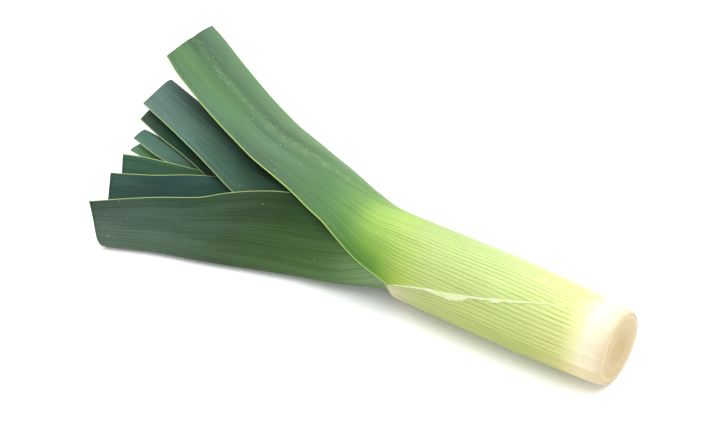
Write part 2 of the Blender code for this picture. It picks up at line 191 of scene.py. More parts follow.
# The leaves from the outermost in. Far ones fold to +Y, near ones to -Y. Each list gives stations and
# what holds there: keel is the place of the fold (y, z), back the way it faces in degrees, width the seen
# half from fold to edge, lowShare how much of that the hidden half has. Fold (degrees) and curl (share of
# the tube's roundness) bend each half. cut is where the blade ends: hidden edge, fold and seen edge.
leafShapes = [
    dict(
        name="leaf_1", far=True, mouth=110, opens=112, cut=(300, 297, 302), crease=6.0,
        keel=[(127, 16.4, 32.2), (141, 16, 36.6), (150, 15.8, 38.9), (160, 17.2, 40.4), (178, 20, 42),
              (203, 24, 43), (222, 31, 43.5), (256, 47, 44), (297, 69.7, 43)],
        back=[(110, 9), (127, 38), (141, 55), (150, 65), (178, 78), (203, 84), (256, 90), (300, 92)],
        width=[(110, 61.6), (120, 51.8), (130, 43.8), (141, 38), (150, 33.5), (160, 31), (178, 26.7),
               (203, 23), (230, 22), (285, 22.3), (300, 21)],
        lowShare=[(110, 1), (111.5, 0.86), (114, 0.8), (120, 0.75), (130, 0.72), (180, 0.8), (300, 0.85)],
        foldTop=[(110, 0), (150, 10), (203, 15), (300, 13)],
        foldLow=[(110, 0), (150, 10), (203, 15), (300, 13)],
        curlTop=[(110, 1), (130, 0.85), (141, 0.65), (150, 0.5), (178, 0.38), (203, 0.24), (256, 0.14),
                 (300, 0.07)],
        curlLow=[(110, 1), (130, 0.89), (141, 0.65), (150, 0.55), (178, 0.44), (203, 0.24), (256, 0.14),
                 (300, 0.07)],
    ),
    dict(
        name="leaf_2", far=False, mouth=120, opens=116, cut=(252, 252, 265), crease=4.0,
        keel=[(133, -18, 6.5), (142, -20, 4.5), (159, -24, 3.1), (182, -32, 2.6), (206, -41, 2.6),
              (226, -47.5, 2.5), (252, -59, 2.4)],
        back=[(110, 189), (133, 218), (142, 221), (159, 219), (182, 214), (206, 209), (252, 205)],
        width=[(120, 55.6), (142, 46.9), (159, 43.7), (182, 42), (194, 39.8), (206, 36.2), (217, 31.6),
               (241, 27.5), (265, 22.5)],
        lowShare=[(120, 1), (133, 0.7), (265, 0.8)],
        foldTop=[(120, 0), (133, 12.7), (142, 25.4), (159, 40), (182, 58), (206, 66), (265, 69)],
        foldLow=[(120, 0), (133, 15.4), (142, 29.9), (159, 47), (182, 58), (206, 65), (265, 72)],
        curlTop=[(116, 1), (120, 0.96), (124, 0.92), (133, 0.8), (142, 0.66), (159, 0.46), (182, 0.28),
                 (206, 0.14), (265, 0.03)],
        curlLow=[(116, 1), (120, 0.97), (124, 0.91), (133, 0.68), (142, 0.39), (159, 0.18), (182, 0.06),
                 (206, 0)],
    ),
    dict(
        name="leaf_3", far=True, mouth=136, opens=145, cut=(297, 297, 294), crease=4.0,
        keel=[(160, 11.8, 28), (185, 14.5, 31), (208, 20, 30), (250, 33, 28), (297, 50, 26)],
        back=[(136, 20), (160, 38), (185, 48), (208, 50), (297, 52)],
        width=[(136, 47.6), (160, 40), (185, 34), (208, 33), (227, 30.5), (247, 28), (271, 26.5), (297, 26)],
        lowShare=[(136, 1), (160, 0.9), (185, 0.87), (208, 0.88), (250, 1.03), (297, 1.052)],
        foldTop=[(145, 0), (160, 3.6), (172, 12.1), (185, 25.4), (208, 38), (250, 40), (297, 41)],
        foldLow=[(150, 0), (165, 5.8), (185, 20), (208, 38)],
        curlTop=[(136, 1), (145, 1), (160, 0.92), (172, 0.75), (185, 0.51), (208, 0.15), (250, 0.07),
                 (297, 0.02)],
        curlLow=[(136, 1), (145, 1), (160, 0.92), (170, 0.85), (185, 0.54), (208, 0.12), (297, 0)],
    ),
    dict(
        name="leaf_4", far=False, mouth=148, opens=188, cut=(259, 262.5, 271.6), crease=3.5,
        keel=[(205, -11.8, 10.7), (229, -23.5, 6.5), (250, -35, 5), (265, -41, 5)],
        back=[(148, 195), (200, 204), (265, 205)],
        width=[(148, 41.5), (180, 30), (190, 24.5), (200, 21.6), (215, 25.3), (229, 26.4), (250, 24.4),
               (273, 22.8)],
        lowShare=[(148, 1), (200, 0.6), (273, 0.85)],
        foldTop=[(190, 0), (205, 10.7), (229, 51.1), (265, 74)],
        foldLow=[(190, 0), (205, 16.3), (229, 53.9), (265, 68)],
        curlTop=[(188, 1), (205, 0.73), (229, 0.31), (250, 0.08), (265, 0.05)],
        curlLow=[(188, 1), (205, 0.7), (229, 0.05), (265, 0)],
    ),
    dict(
        name="leaf_5", far=True, mouth=158, opens=198, cut=(292, 294, 292), crease=3.5,
        keel=[(218, 9.8, 21.2), (234, 18.3, 23.8), (294, 37, 20)],
        back=[(158, 25), (185, 40), (200, 45), (294, 48)],
        width=[(158, 35), (185, 25), (200, 20.5), (218, 20.2), (234, 20.6), (262, 20.9), (294, 18.6)],
        lowShare=[(158, 1)],
        foldTop=[(198, 0), (218, 23.5), (234, 52.5), (262, 47.5), (294, 44)],
        foldLow=[(198, 0), (218, 17.4), (234, 42.4), (294, 40)],
        curlTop=[(198, 0.98), (218, 0.45), (234, 0.16), (294, 0.06)],
        curlLow=[(198, 0.99), (205, 0.85), (218, 0.2), (234, 0.06), (294, 0)],
    ),
    dict(
        name="leaf_6", far=False, mouth=167, opens=200, cut=(267, 270.3, 279.4), crease=3.0,
        keel=[(225, -8.6, 9.3), (246, -15, 7), (275, -22, 6.5)],
        back=[(167, 200), (220, 203)],
        width=[(167, 28), (190, 20.1), (200, 15.5), (210, 17.5), (225, 18.3), (237, 19.3), (252, 20),
               (266, 19.8), (280, 18.6)],
        lowShare=[(167, 1), (280, 0.9)],
        foldTop=[(202, 0), (225, 48.1), (246, 70), (275, 74)],
        foldLow=[(202, 0), (225, 23.4), (246, 68), (275, 69)],
        curlTop=[(200, 1), (225, 0.35), (246, 0.12), (275, 0.04)],
        curlLow=[(200, 0.99), (225, 0.43), (246, 0.03), (275, 0)],
    ),
    dict(
        name="leaf_7", far=True, mouth=175, opens=205, cut=(283, 286, 286.6), crease=2.5,
        keel=[(230, 6.8, 16), (245, 11.6, 16.9), (260, 12.2, 17.5), (288, 16, 16.5)],
        back=[(175, 20), (220, 30)],
        width=[(175, 20.4), (200, 13.7), (225, 12.4), (260, 12.8), (288, 10.2)],
        lowShare=[(175, 1), (205, 0.95), (225, 0.8), (260, 0.66), (290, 0.6)],
        foldTop=[(205, 0), (230, 47.1), (250, 58.6), (288, 65)],
        foldLow=[(205, 0), (230, 20.1), (260, 50)],
        curlTop=[(205, 1), (230, 0.4), (260, 0.2), (288, 0.08)],
        curlLow=[(205, 1), (230, 0.61), (260, 0.1), (288, 0.08)],
    ),
    dict(
        name="leaf_8", far=False, mouth=183, opens=205, cut=(284, 287, 284), crease=1.2,
        keel=[(235, -1.6, 11.4), (255, 0.4, 10.4), (270, 2, 10.1), (285, 3.5, 10.3)],
        back=[(183, 200), (220, 190), (290, 185)],
        width=[(183, 13), (205, 7.4), (235, 6.2), (285, 6)],
        lowShare=[(183, 1)],
        foldTop=[(192, 0), (210, 26), (235, 48.2), (270, 70), (285, 72)],
        foldLow=[(205, 0), (235, 36.2), (270, 70), (285, 72)],
        curlTop=[(192, 1), (210, 0.85), (235, 0.49), (270, 0.1), (285, 0.06)],
        curlLow=[(205, 1), (235, 0.53), (270, 0.1), (285, 0.06)],
    ),
]

# How finely each leaf is drawn, and its colours from root to tip on the hidden edge (-1), the fold (0)
# and the seen edge (1), which carry painted sheen and painted shade as well as the leaf's own colour. haze
# is how much bloom it carries, streak how streaked it is, veinDepth how deep the darker line in its vein
# furrows is, vein colour and painted shade together, and veinKeep how much of that is left where the ridges
# have sunk.
leafLooks = [
    dict(
        columns=150, tubeRows=60, bladeRows=80, haze=0.05, streak=0.18, veinDepth=0.26, veinKeep=0.3,
        # painted light in these tones: about the fold (0), on the shank's far top, paler towards the root
        # end for a painted sheen and darker towards the mouth for painted shade; the shank's near side and
        # underside, towards -1 and 1, darker for painted shade; the blade darker at its fold and its seen
        # edge than in its middle (0.5), painted shade where it turns from the light
        tones=[
            (-1, [(0, "#d8c69c"), (4, "#e0d0a6"), (10, "#e2d6aa"), (14, "#dcd29a"), (21, "#ccc880"),
                  (38, "#b4bd68"), (65, "#b4c26e"), (90, "#b6c078"), (112, "#b8c47c"), (125, "#8fb060"),
                  (150, "#6f9a5a"), (297, "#5b7c5d")]),
            (0, [(0, "#e0cfa8"), (1.2, "#e9d9b8"), (4, "#f3e7cc"), (9, "#f8f1d2"), (14, "#f6f2b2"),
                 (23, "#ecf0aa"), (50, "#e0ecb0"), (80, "#c0d39b"), (105, "#aac07e"), (115, "#a8c670"),
                 (125, "#88a85f"), (140, "#729656"), (160, "#648859"), (200, "#506a4d"), (240, "#4a6a48"),
                 (297, "#3a583f")]),
            (0.5, [(0, "#e0cfa8"), (1.2, "#e9d9b8"), (4, "#f3e7cc"), (10, "#fbf6da"), (14, "#f6f4b8"),
                   (22, "#e4ec9c"), (50, "#d2e595"), (80, "#c3d98a"), (105, "#b9d27c"), (116, "#b6d46c"),
                   (127, "#a0c75c"), (140, "#729a52"), (160, "#5d8154"), (200, "#638666"),
                   (240, "#608658"), (297, "#5e8252")]),
            (1, [(0, "#dac8a0"), (1.2, "#e2d1ae"), (4, "#eadfbc"), (10, "#eee5c2"), (14, "#e4dfa2"),
                 (21, "#cccf80"), (38, "#bdc672"), (65, "#bcca76"), (90, "#bfcf78"), (99, "#b6c95c"),
                 (105, "#a2bb3a"), (111, "#76a41c"), (118, "#458210"), (127, "#417824"), (142, "#507a40"),
                 (160, "#5a8052"), (200, "#516850"), (240, "#5b7d61"), (297, "#527454")]),
        ],
    ),
    dict(
        columns=110, tubeRows=20, bladeRows=80, haze=0.06, streak=0.2, veinDepth=0.3, veinKeep=0.3,
        # past the mouth the part by the seen edge (1) is painted dark, a painted shadow of the outer leaf
        # lying above it
        tones=[
            (0, [(104, "#a8b984"), (112, "#849c74"), (126, "#70905f"), (142, "#587848"), (170, "#4b673c"),
                 (195, "#43593b"), (225, "#4e6452"), (252, "#57695a")]),
            (1, [(104, "#a8b984"), (114, "#6f8f5e"), (130, "#4f733a"), (148, "#1c3c13"), (172, "#193213"),
                 (195, "#283f21"), (225, "#2f4733"), (252, "#384c40")]),
        ],
    ),
    dict(
        columns=100, tubeRows=16, bladeRows=76, haze=0.06, streak=0.18, veinDepth=0.22, veinKeep=0.9,
        # the part by the fold (0) is painted darker than by the seen edge (1), a painted shadow of the outer
        # leaf lying above it
        tones=[
            (0, [(120, "#a8c070"), (150, "#3c5c3a"), (190, "#162b20"), (225, "#182f25"), (255, "#283d35"),
                 (285, "#4a6359"), (297, "#57716a")]),
            (1, [(120, "#a8c070"), (150, "#4f7848"), (190, "#2c4a34"), (225, "#3a5c48"), (255, "#58776a"),
                 (285, "#617c73"), (297, "#67827a")]),
        ],
    ),
    dict(
        columns=70, tubeRows=14, bladeRows=60, haze=0.04, streak=0.18, veinDepth=0.22, veinKeep=0.9,
        tones=[
            (0, [(140, "#a8c070"), (175, "#3a5c44"), (215, "#2a463a"), (262, "#2c463c")]),
            (1, [(140, "#a8c070"), (175, "#3a5c44"), (215, "#20463a"), (235, "#1e4140"), (262, "#345048")]),
        ],
    ),
    dict(
        columns=60, tubeRows=12, bladeRows=56, haze=0.03, streak=0.14, veinDepth=0.2, veinKeep=0.9,
        tones=[
            (0, [(150, "#a8c070"), (190, "#22402e"), (235, "#183426"), (294, "#264736")]),
            (1, [(150, "#a8c070"), (190, "#22402e"), (235, "#19382a"), (275, "#2a4a38"), (294, "#44594a")]),
        ],
    ),
    dict(
        columns=50, tubeRows=12, bladeRows=50, haze=0.03, streak=0.16, veinDepth=0.2, veinKeep=0.9,
        tones=[
            (0, [(160, "#a8c070"), (200, "#33513c"), (274, "#335240")]),
            (1, [(160, "#a8c070"), (205, "#6f9440"), (228, "#4c7436"), (245, "#2c5237"), (274, "#3a5946")]),
        ],
    ),
    dict(
        columns=40, tubeRows=12, bladeRows=44, haze=0.06, streak=0.12, veinDepth=0.18, veinKeep=0.9,
        tones=[
            (0, [(170, "#a8c070"), (210, "#33523f"), (288, "#44665a")]),
            (1, [(170, "#a8c070"), (210, "#3c5f48"), (250, "#496958"), (288, "#5a7d6e")]),
        ],
    ),
    dict(
        columns=30, tubeRows=12, bladeRows=40, haze=0.04, streak=0.12, veinDepth=0.18, veinKeep=0.9,
        tones=[
            (0, [(175, "#b4cc7c"), (215, "#48693f"), (285, "#5f8c63")]),
            (1, [(175, "#b4cc7c"), (215, "#4c7043"), (250, "#5b8458"), (285, "#68966d")]),
        ],
    ),
]


def toneGrid(tones, grid):  # blends the colour stops across the leaf
    across, station = grid["across"], grid["station"]
    share = np.where(across > 0, across / np.maximum(across[:, -1:], 0.1),
                     across / np.maximum(-across[:, :1], 0.1))
    spots = [spot for spot, _ in tones]
    total = np.zeros(across.shape + (3,))
    for k, (_, stops) in enumerate(tones):
        hat = np.interp(share, spots, np.eye(len(spots))[k])
        total += hat[..., None] * colourAlong(stops, station.ravel()).reshape(across.shape + (3,))
    return total


def sheathCircle(order, stations):
    height = along(leek["axisHeight"], stations)
    radius = along(leek["shankRadius"], stations) - leek["leafPitch"] * order
    shrink = np.zeros(np.shape(stations))
    for leaves, start, drop, dropOver, lost, lostOver in leek["sinking"]:
        if order in leaves:
            height = height - drop * ease((stations - start) / dropOver)
            shrink = shrink + lost * ease((stations - start) / lostOver)
    return height, radius * (1 - shrink)


def circleKeel(shape, order, stations):
    stations = np.asarray(stations, float)
    height, radius = sheathCircle(order, stations)
    angle = np.radians(along(shape["back"], stations))
    back = np.stack([np.cos(angle), np.sin(angle)], axis=-1)
    centre = np.stack([np.zeros(len(stations)), height], axis=-1)
    return centre + radius[:, None] * back, back, radius


def keelPath(shape, order, stations):
    bends = np.array(shape["keel"], float)
    away = bends[:, 1:] - circleKeel(shape, order, bends[:, 0])[0]
    keel, back, radius = circleKeel(shape, order, stations)
    for axis in (0, 1):
        offsets = [(shape["opens"], 0.0)] + list(zip(bends[:, 0], away[:, axis]))
        keel[:, axis] += along(offsets, stations, True)
    return keel, back, radius


def halfSection(shape, stations, back, radius, side, columns):
    top = (side > 0) == shape["far"]
    tube = stations <= shape["mouth"]
    slit = leek["mouthSlit"] * ease((stations - shape["mouth"]) / leek["slitLength"])
    spreadFrom, spreadOver, spreadShare = leek["spread"]
    wider = 1 + spreadShare * ease((stations - shape["opens"] - spreadFrom) / spreadOver)
    room = np.pi * radius * (1 - slit) * wider
    width = np.minimum(room, along(shape["width"], stations, True))
    width = width * (1 if top else along(shape["lowShare"], stations))
    width = np.where(tube, np.pi * radius, width)
    fold = np.radians(along(shape["foldTop" if top else "foldLow"], stations))
    fold = np.where(tube, 0, fold)
    curl = np.where(tube, 1, along(shape["curlTop" if top else "curlLow"], stations)) / radius
    lengths = width[:, None] * np.linspace(0, 1, columns + 1)
    middles = (lengths[:, 1:] + lengths[:, :-1]) / 2
    sideways = side * np.stack([-back[:, 1], back[:, 0]], axis=-1)

    def turned(at):
        angle = fold[:, None] * np.tanh(at / shape["crease"]) + curl[:, None] * at
        return np.cos(angle)[..., None], np.sin(angle)[..., None]

    cosine, sine = turned(middles)
    walk = (cosine * sideways[:, None] - sine * back[:, None]) * (width / columns)[:, None, None]
    points = np.concatenate([np.zeros((len(stations), 1, 2)), np.cumsum(walk, axis=1)], axis=1)
    cosine, sine = turned(lengths)
    return points, cosine * back[:, None] + sine * sideways[:, None], lengths


def wallThickness(shape, order, stations):
    share = ease((stations - shape["mouth"] + leek["thinningLength"]) / leek["thinningLength"])
    thick = leek["sheathWall"] + (leek["bladeWall"] - leek["sheathWall"]) * share
    if order == 0:  # the outer leaf is thin where it wraps the root plate
        rim = along(leek["shankRadius"], stations) - leek["plateRadius"] - leek["plateGap"]
        thick = np.where(stations < leek["plateThickness"], rim, thick)
    return thick


def leafGrid(shape, order, columns, tubeRows, bladeRows):
    mouth, (lowCut, keelCut, topCut) = shape["mouth"], shape["cut"]
    step = leek["tableStep"]
    stations = np.arange(0, max(shape["cut"]) + 1, step)
    keel, back, radius = keelPath(shape, order, stations)
    topSide = 1 if shape["far"] else -1
    low, lowOut, lowLength = halfSection(shape, stations, back, radius, -topSide, columns)
    top, topOut, topLength = halfSection(shape, stations, back, radius, topSide, columns)
    points = np.concatenate([low[:, ::-1], top[:, 1:]], axis=1) + keel[:, None]
    outward = np.concatenate([lowOut[:, ::-1], topOut[:, 1:]], axis=1)
    across = np.concatenate([-lowLength[:, ::-1], topLength[:, 1:]], axis=1)
    share = np.abs(np.linspace(-1, 1, 2 * columns + 1))
    lowSide = np.arange(2 * columns + 1) < columns
    cuts = keelCut + share * np.where(lowSide, lowCut - keelCut, topCut - keelCut)
    start = 0.0 if order == 0 else leek["plateThickness"] + leek["plateGap"]
    crowding = leek["rowCrowding"] if order == 0 else 1.0
    tube = start + (mouth - start) * np.linspace(0, 1, tubeRows) ** crowding
    blade = np.linspace(0, 1, bladeRows + 1)[1:] ** leek["bladeCrowding"]
    rows = np.concatenate([np.repeat(tube[:, None], 2 * columns + 1, 1),
                           mouth + (cuts - mouth) * blade[:, None]])
    index = np.clip(rows / step, 0, len(stations) - 2)
    whole = index.astype(int)
    part = (index - whole)[..., None]
    column = np.broadcast_to(np.arange(2 * columns + 1), rows.shape)

    def read(table):
        return table[whole, column] * (1 - part) + table[whole + 1, column] * part

    grid = {"station": rows, "outer": read(points), "outward": read(outward)}
    grid["across"] = read(across[..., None])[..., 0]
    grid["tubeRows"] = tubeRows
    if order == 0:  # the end of the flap slopes back, underneath, from its tip
        below = 180 - np.degrees(np.abs(grid["across"]) / sheathCircle(0, rows)[1])
        slope = flap["runOut"] * ease((below - 2) / flap["slopeTurn"]) * ease((120 - below) / 60)
        slope = slope - flap["point"] * np.exp(-(below / flap["pointTurn"]) ** 2)
        reach = ease((rows - mouth + flap["lead"]) / flap["lead"])
        reach = reach * (1 - ease((rows - mouth - 2) / flap["fade"]))
        grid["station"] = rows - slope * lowSide * reach
    across = grid["across"]
    grid["edge"] = np.minimum(across[:, -1:] - across, across - across[:, :1])
    grid["edge"][:tubeRows] = 20.0  # a closed sheath has no edge
    grid["rim"] = np.minimum(grid["edge"], cuts - rows)
    return grid


# the broken pale line along the middle of the top leaf
stripe = {
    "path": [(120, 9.0), (150, 5.0), (203, 3.0), (300, 0.0)],
      # station, mm from the fold towards the near edge
    "width": 3.4,
    "from": (128.0, 165.0),    # stations between which it comes in
    "strength": 0.28,
    "colour": "#99b97f",
}

# the part of the outer sheath below its seam, a pale flap that runs out to a point at the mouth
flap = {
    # degrees round the shank at each station: the flap's edge, and the vein that reaches its tip
    "seam": [(14, 101), (35, 124), (53, 141), (62, 149), (77, 160), (92, 169), (104, 180), (110, 188)],
    "line": [(0, 158), (66, 158), (80, 162), (92, 169), (104, 180), (110, 188)],
    "pitch": [(0, 2.16), (66, 2.16), (92, 1.5), (104, 0.95), (110, 0.7)],  # mm between its veins
    "point": 1.0,              # mm the tip reaches past the mouth
    "runOut": 3.4,             # mm the end of the flap slopes back from its tip
    "slopeTurn": 54,           # degrees over which it slopes back
    "pointTurn": 7,            # degrees the tip is wide
    "toneFrom": 45,            # mm, where its own colours start to show
    "toneOver": 40,            # mm over which they come in
    "toneEnd": 300,            # degrees round the shank where they stop
    "lead": 16,                # mm before the mouth over which the flap leans into its slope
    "fade": 14,                # mm past the mouth over which it is gone
    "tones": [(0, "#b9c26c"), (65, "#bcc873"), (90, "#b9c57a"), (100, "#c3c58c"), (108, "#d6cfa8"),
              (112, "#e0d8bf")],
}


def flapAngle(grid):  # degrees round the shank, growing from the fold over the top and on underneath
    turn = np.degrees(grid["across"] / sheathCircle(0, grid["station"])[1])
    return leafShapes[0]["back"][0][1] + np.where(turn < 0, turn + 360, turn)


def flapShare(grid):
    seam = along(flap["seam"], grid["station"])
    closed = grid["station"] < leafShapes[0]["mouth"]
    return ease((flapAngle(grid) - seam) / 3) * ((grid["across"] < 0) | closed)


def veinPhase(shape, order,
              grid):  # veins keep their number from the shank into the blade, and bend gently at the mouth
    stations = np.arange(-40, 340, leek["tableStep"])
    radius = sheathCircle(order, np.maximum(stations, 0))[1]
    widths = np.where(stations <= shape["mouth"], np.pi * radius, np.minimum(np.pi * radius, along(
        shape["width"], stations, True)))
    turn = np.radians(along(shape["back"], stations))
    window = np.hanning(2 * int(leek["veinBend"] / leek["tableStep"]) + 1)
    window = window / window.sum()
    edge = len(window) // 2

    def softened(values):
        return np.convolve(np.pad(values, edge, mode="edge"), window, mode="valid")

    total = round(np.pi * sheathCircle(order, np.array([60.0]))[1][0] / leek["sheathVein"])
    shift = radius * (turn - softened(turn)) * (1 if shape["far"] else -1)
    across = grid["across"] + np.interp(grid["station"], stations, shift)
    near = ease((stations - shape["mouth"] + 45) / 20)  # only the mouth is softened, not the root end
    share = across / np.interp(grid["station"], stations, widths + (softened(widths) - widths) * near)
    gather = 1 + leek["veinGather"] * ease((grid["station"] - 45) / 45) * (order == 0)
    phase = total * (leek["gatherAt"] + (share - leek["gatherAt"]) * gather)
    if order == 0:  # under the seam the veins draw together towards the mouth
        angle, seam = flapAngle(grid), along(flap["line"], grid["station"])
        drawn = -total + np.radians(angle - seam) * sheathCircle(0, grid["station"])[1] / along(
            flap["pitch"], grid["station"])
        share = flapShare(grid) * (1 - ease((grid["station"] - shape["mouth"] - 2) / flap["fade"]))
        share = share * (1 - ease((angle - 260) / 40))  # and far underneath they run straight
        phase = phase + (drawn - phase) * share
    return phase


# how much of their height the vein ridges keep, as shares, and where that changes, in mm
ribs = {
    "bladeLoss": 0.55,               # lost on a blade
    "lead": 16,                      # from this far before the mouth
    "over": 20,                      # and over this length
    "second": (0.15, 0.3, 150, 45),  # the second leaf: share kept, share gained, from, over
    "outer": (0.88, 106, 10, 16),    # the outer leaf: share lost, from, later in the middle by, over
    "seamRadius": 17,                # the shank's radius at the flap's edge
    "seamFlat": 0.2,                 # none this close to the flap's edge
    "seamRise": 0.8,                 # and full this much further off
    "edge": 1.2,                     # full this far from a leaf's edge
    "start": 9,                      # none before this station
    "startOver": 14,                 # and full this much further on
}


def leafMesh(name, shape, look, order):
    grid = leafGrid(shape, order, look["columns"], look["tubeRows"], look["bladeRows"])
    rows, columns = grid["station"].shape
    mouthRow = grid["tubeRows"] - 1
    taper = 1 - leek["edgeTaper"] * np.exp(-np.maximum(grid["rim"], 0) / leek["taperReach"])
    thick = wallThickness(shape, order, grid["station"]) * taper
    inner = grid["outer"] - grid["outward"] * thick[..., None]
    index = np.arange(2 * rows * columns).reshape(2, rows, columns)
    index[:, :mouthRow + 1, -1] = index[:, :mouthRow + 1, 0]  # the tube is closed
    used, index = np.unique(index, return_inverse=True)
    index = index.reshape(2, rows, columns)
    outer3 = inFrame(grid["station"], grid["outer"][..., 0], grid["outer"][..., 1])
    inner3 = inFrame(grid["station"], inner[..., 0], inner[..., 1])
    vertices = np.stack([outer3, inner3]).reshape(-1, 3)[used]

    faces = shellFaces(index[0], index[1], mouthRow)
    mesh = smoothMesh(name, vertices.tolist(), faces.tolist())
    veins = veinPhase(shape, order, grid)
    toneAndShade = toneGrid(look["tones"], grid)
    if order == 0:
        below = colourAlong(flap["tones"], grid["station"].ravel()).reshape(toneAndShade.shape)
        share = flapShare(grid) * (flapAngle(grid) < flap["toneEnd"])
        share = share * ease((grid["station"] - flap["toneFrom"]) / flap["toneOver"])
        toneAndShade = toneAndShade + (below - toneAndShade) * share[..., None]
    ridge = 1 - ribs["bladeLoss"] * ease((grid["station"] - shape["mouth"] + ribs["lead"]) / ribs["over"])
    if order == 1:
        least, more, start, over = ribs["second"]
        ridge = least + more * ease((grid["station"] - start) / over)
    if order == 0:  # the veins sink into the smooth blade, latest in the middle
        loss, start, later, over = ribs["outer"]
        middle = 1 - np.abs(2 * grid["across"] / np.maximum(grid["across"][:, -1:], 1) - 1)
        ridge = 1 - loss * ease((grid["station"] - start - later * np.clip(middle, 0, 1)) / over)
        turned = np.radians(flapAngle(grid) - along(flap["seam"], grid["station"]))
        toSeam = turned * ribs["seamRadius"]
        flat = 1 - ease((np.abs(toSeam) - ribs["seamFlat"]) / ribs["seamRise"])
        ridge = ridge * (1 - flat * (grid["station"] < shape["mouth"]))
    ridge = ridge * ease(grid["edge"] / ribs["edge"])
    ridge = ridge * ease((grid["station"] - ribs["start"]) / ribs["startOver"])
    fields = {"vein": veins, "edge": grid["edge"], "across": grid["across"],
              "station": grid["station"], "ridge": ridge, "rim": grid["rim"]}
    if order == 0:
        fields["stripe"] = np.abs(grid["across"] - along(stripe["path"], grid["station"]))
    for key, values in fields.items():
        both = np.stack([values, values * (0.4 if key == "ridge" else 1)])
        addField(mesh, key, both.reshape(-1)[used])
    colour = np.concatenate([toneAndShade * leek["pigment"], np.ones((rows, columns, 1))], axis=-1)
    colour = np.stack([colour, colour]).reshape(-1, 4)[used]
    mesh.attributes.new("toneAndShade", "FLOAT_COLOR", "POINT").data.foreach_set("color", colour.ravel())
    inside = np.stack([np.zeros((rows, columns)), np.ones((rows, columns))]).reshape(-1)[used]
    addField(mesh, "inside", inside)
    return mesh


def linkPiece(name, mesh):
    piece = bpy.data.objects.new(name, mesh)
    bpy.context.scene.collection.objects.link(piece)
    return piece


def bakeNodes(piece, tree, inputs):  # runs a Geometry Nodes tree on a piece and keeps the plain mesh
    modifier = piece.modifiers.new(tree.name, "NODES")
    modifier.node_group = tree
    for item in tree.interface.items_tree:
        if item.item_type == "SOCKET" and item.in_out == "INPUT" and item.name in inputs:
            modifier[item.identifier] = inputs[item.name]
    graph = bpy.context.evaluated_depsgraph_get()
    graph.update()
    mesh = bpy.data.meshes.new_from_object(piece.evaluated_get(graph), preserve_all_data_layers=True,
                                           depsgraph=graph)
    piece.modifiers.remove(modifier)
    piece.data = mesh
    return piece


def newTree(name, sockets):
    tree = bpy.data.node_groups.new(name, "GeometryNodeTree")
    tree.interface.new_socket("Geometry", in_out="INPUT", socket_type="NodeSocketGeometry")
    for label, kind, value in sockets:
        socket = tree.interface.new_socket(label, in_out="INPUT", socket_type=kind)
        if value is not None:
            socket.default_value = value
    tree.interface.new_socket("Geometry", in_out="OUTPUT", socket_type="NodeSocketGeometry")
    return tree, addNode(tree, "NodeGroupInput").outputs, addNode(tree, "NodeGroupOutput")


def endTree(tree, geometry, material, output):
    real = addNode(tree, "GeometryNodeRealizeInstances", {"Geometry": geometry})
    coat = addNode(tree, "GeometryNodeSetMaterial", {"Geometry": real.outputs[0], "Material": material})
    tree.links.new(coat.outputs[0], output.inputs[0])


# raises every vein of a leaf as a rounded rib
def veinRibTree():
    tree, inputs, output = newTree("veinRibs", [
        ("Ridge Height", "NodeSocketFloat", 0.0001), ("Skin", "NodeSocketMaterial", None)])
    vein = addNode(tree, "GeometryNodeInputNamedAttribute", {"Name": "vein"}, data_type="FLOAT")
    ridge = addNode(tree, "GeometryNodeInputNamedAttribute", {"Name": "ridge"}, data_type="FLOAT")
    turn = addNode(tree, "ShaderNodeMath", {0: vein.outputs["Attribute"], 1: 2 * math.pi},
                   operation="MULTIPLY")
    wave = addNode(tree, "ShaderNodeMath", {0: turn.outputs[0]}, operation="COSINE")
    share = addNode(tree, "ShaderNodeMath", {0: wave.outputs[0], 1: ridge.outputs["Attribute"]},
                    operation="MULTIPLY")
    lift = addNode(tree, "ShaderNodeMath", {0: share.outputs[0], 1: inputs["Ridge Height"]},
                   operation="MULTIPLY")
    normal = addNode(tree, "GeometryNodeInputNormal")
    offset = addNode(tree, "ShaderNodeVectorMath", {0: normal.outputs[0], "Scale": lift.outputs[0]},
                     operation="SCALE")
    move = addNode(tree, "GeometryNodeSetPosition", {"Geometry": inputs["Geometry"],
                                                     "Offset": offset.outputs[0]})
    endTree(tree, move.outputs[0], inputs["Skin"], output)
    return tree


# the surface of every leaf
skin = {
    "edgeLine": "#a0b572",     # thin translucent edge of every blade
    "topEdgeLine": "#a0bb63",
    "edgeWidth": 0.38,         # mm
    "topEdgeWidth": 0.62,
    "haze": "#7f9a90",         # natural wax bloom
    "furrow": "#8fae55",       # darker green in the furrows between the veins: vein colour and painted shade
    "cutFlesh": "#667f63",     # where the blade was cut across
    "roughness": 0.5,
    "whiteEnd": (7.0, 26.0),          # stations between which the furrows come in
    "greenFrom": (100.0, 145.0),      # and the streaks grow strong
    "bloomFrom": (140.0, 240.0),      # and the bloom
    "shine": (105.0, 150.0, 0.4, 0.16),   # the outer leaf's gloss: stations, then level before and after
    # how wide each pattern is in veins and how long in mm, its shift from leaf to leaf, detail and roughness
    "noises": {"uneven": (1.25, 41.7, 4.7, 2.0, 0.5), "streak": (0.833, 83.3, 7.3, 4.0, 0.62),
               "fine": (0.154, 16.7, 3.1, 3.0, 0.5), "patch": (6.67, 33.3, 1.7, 2.0, 0.5)},
}


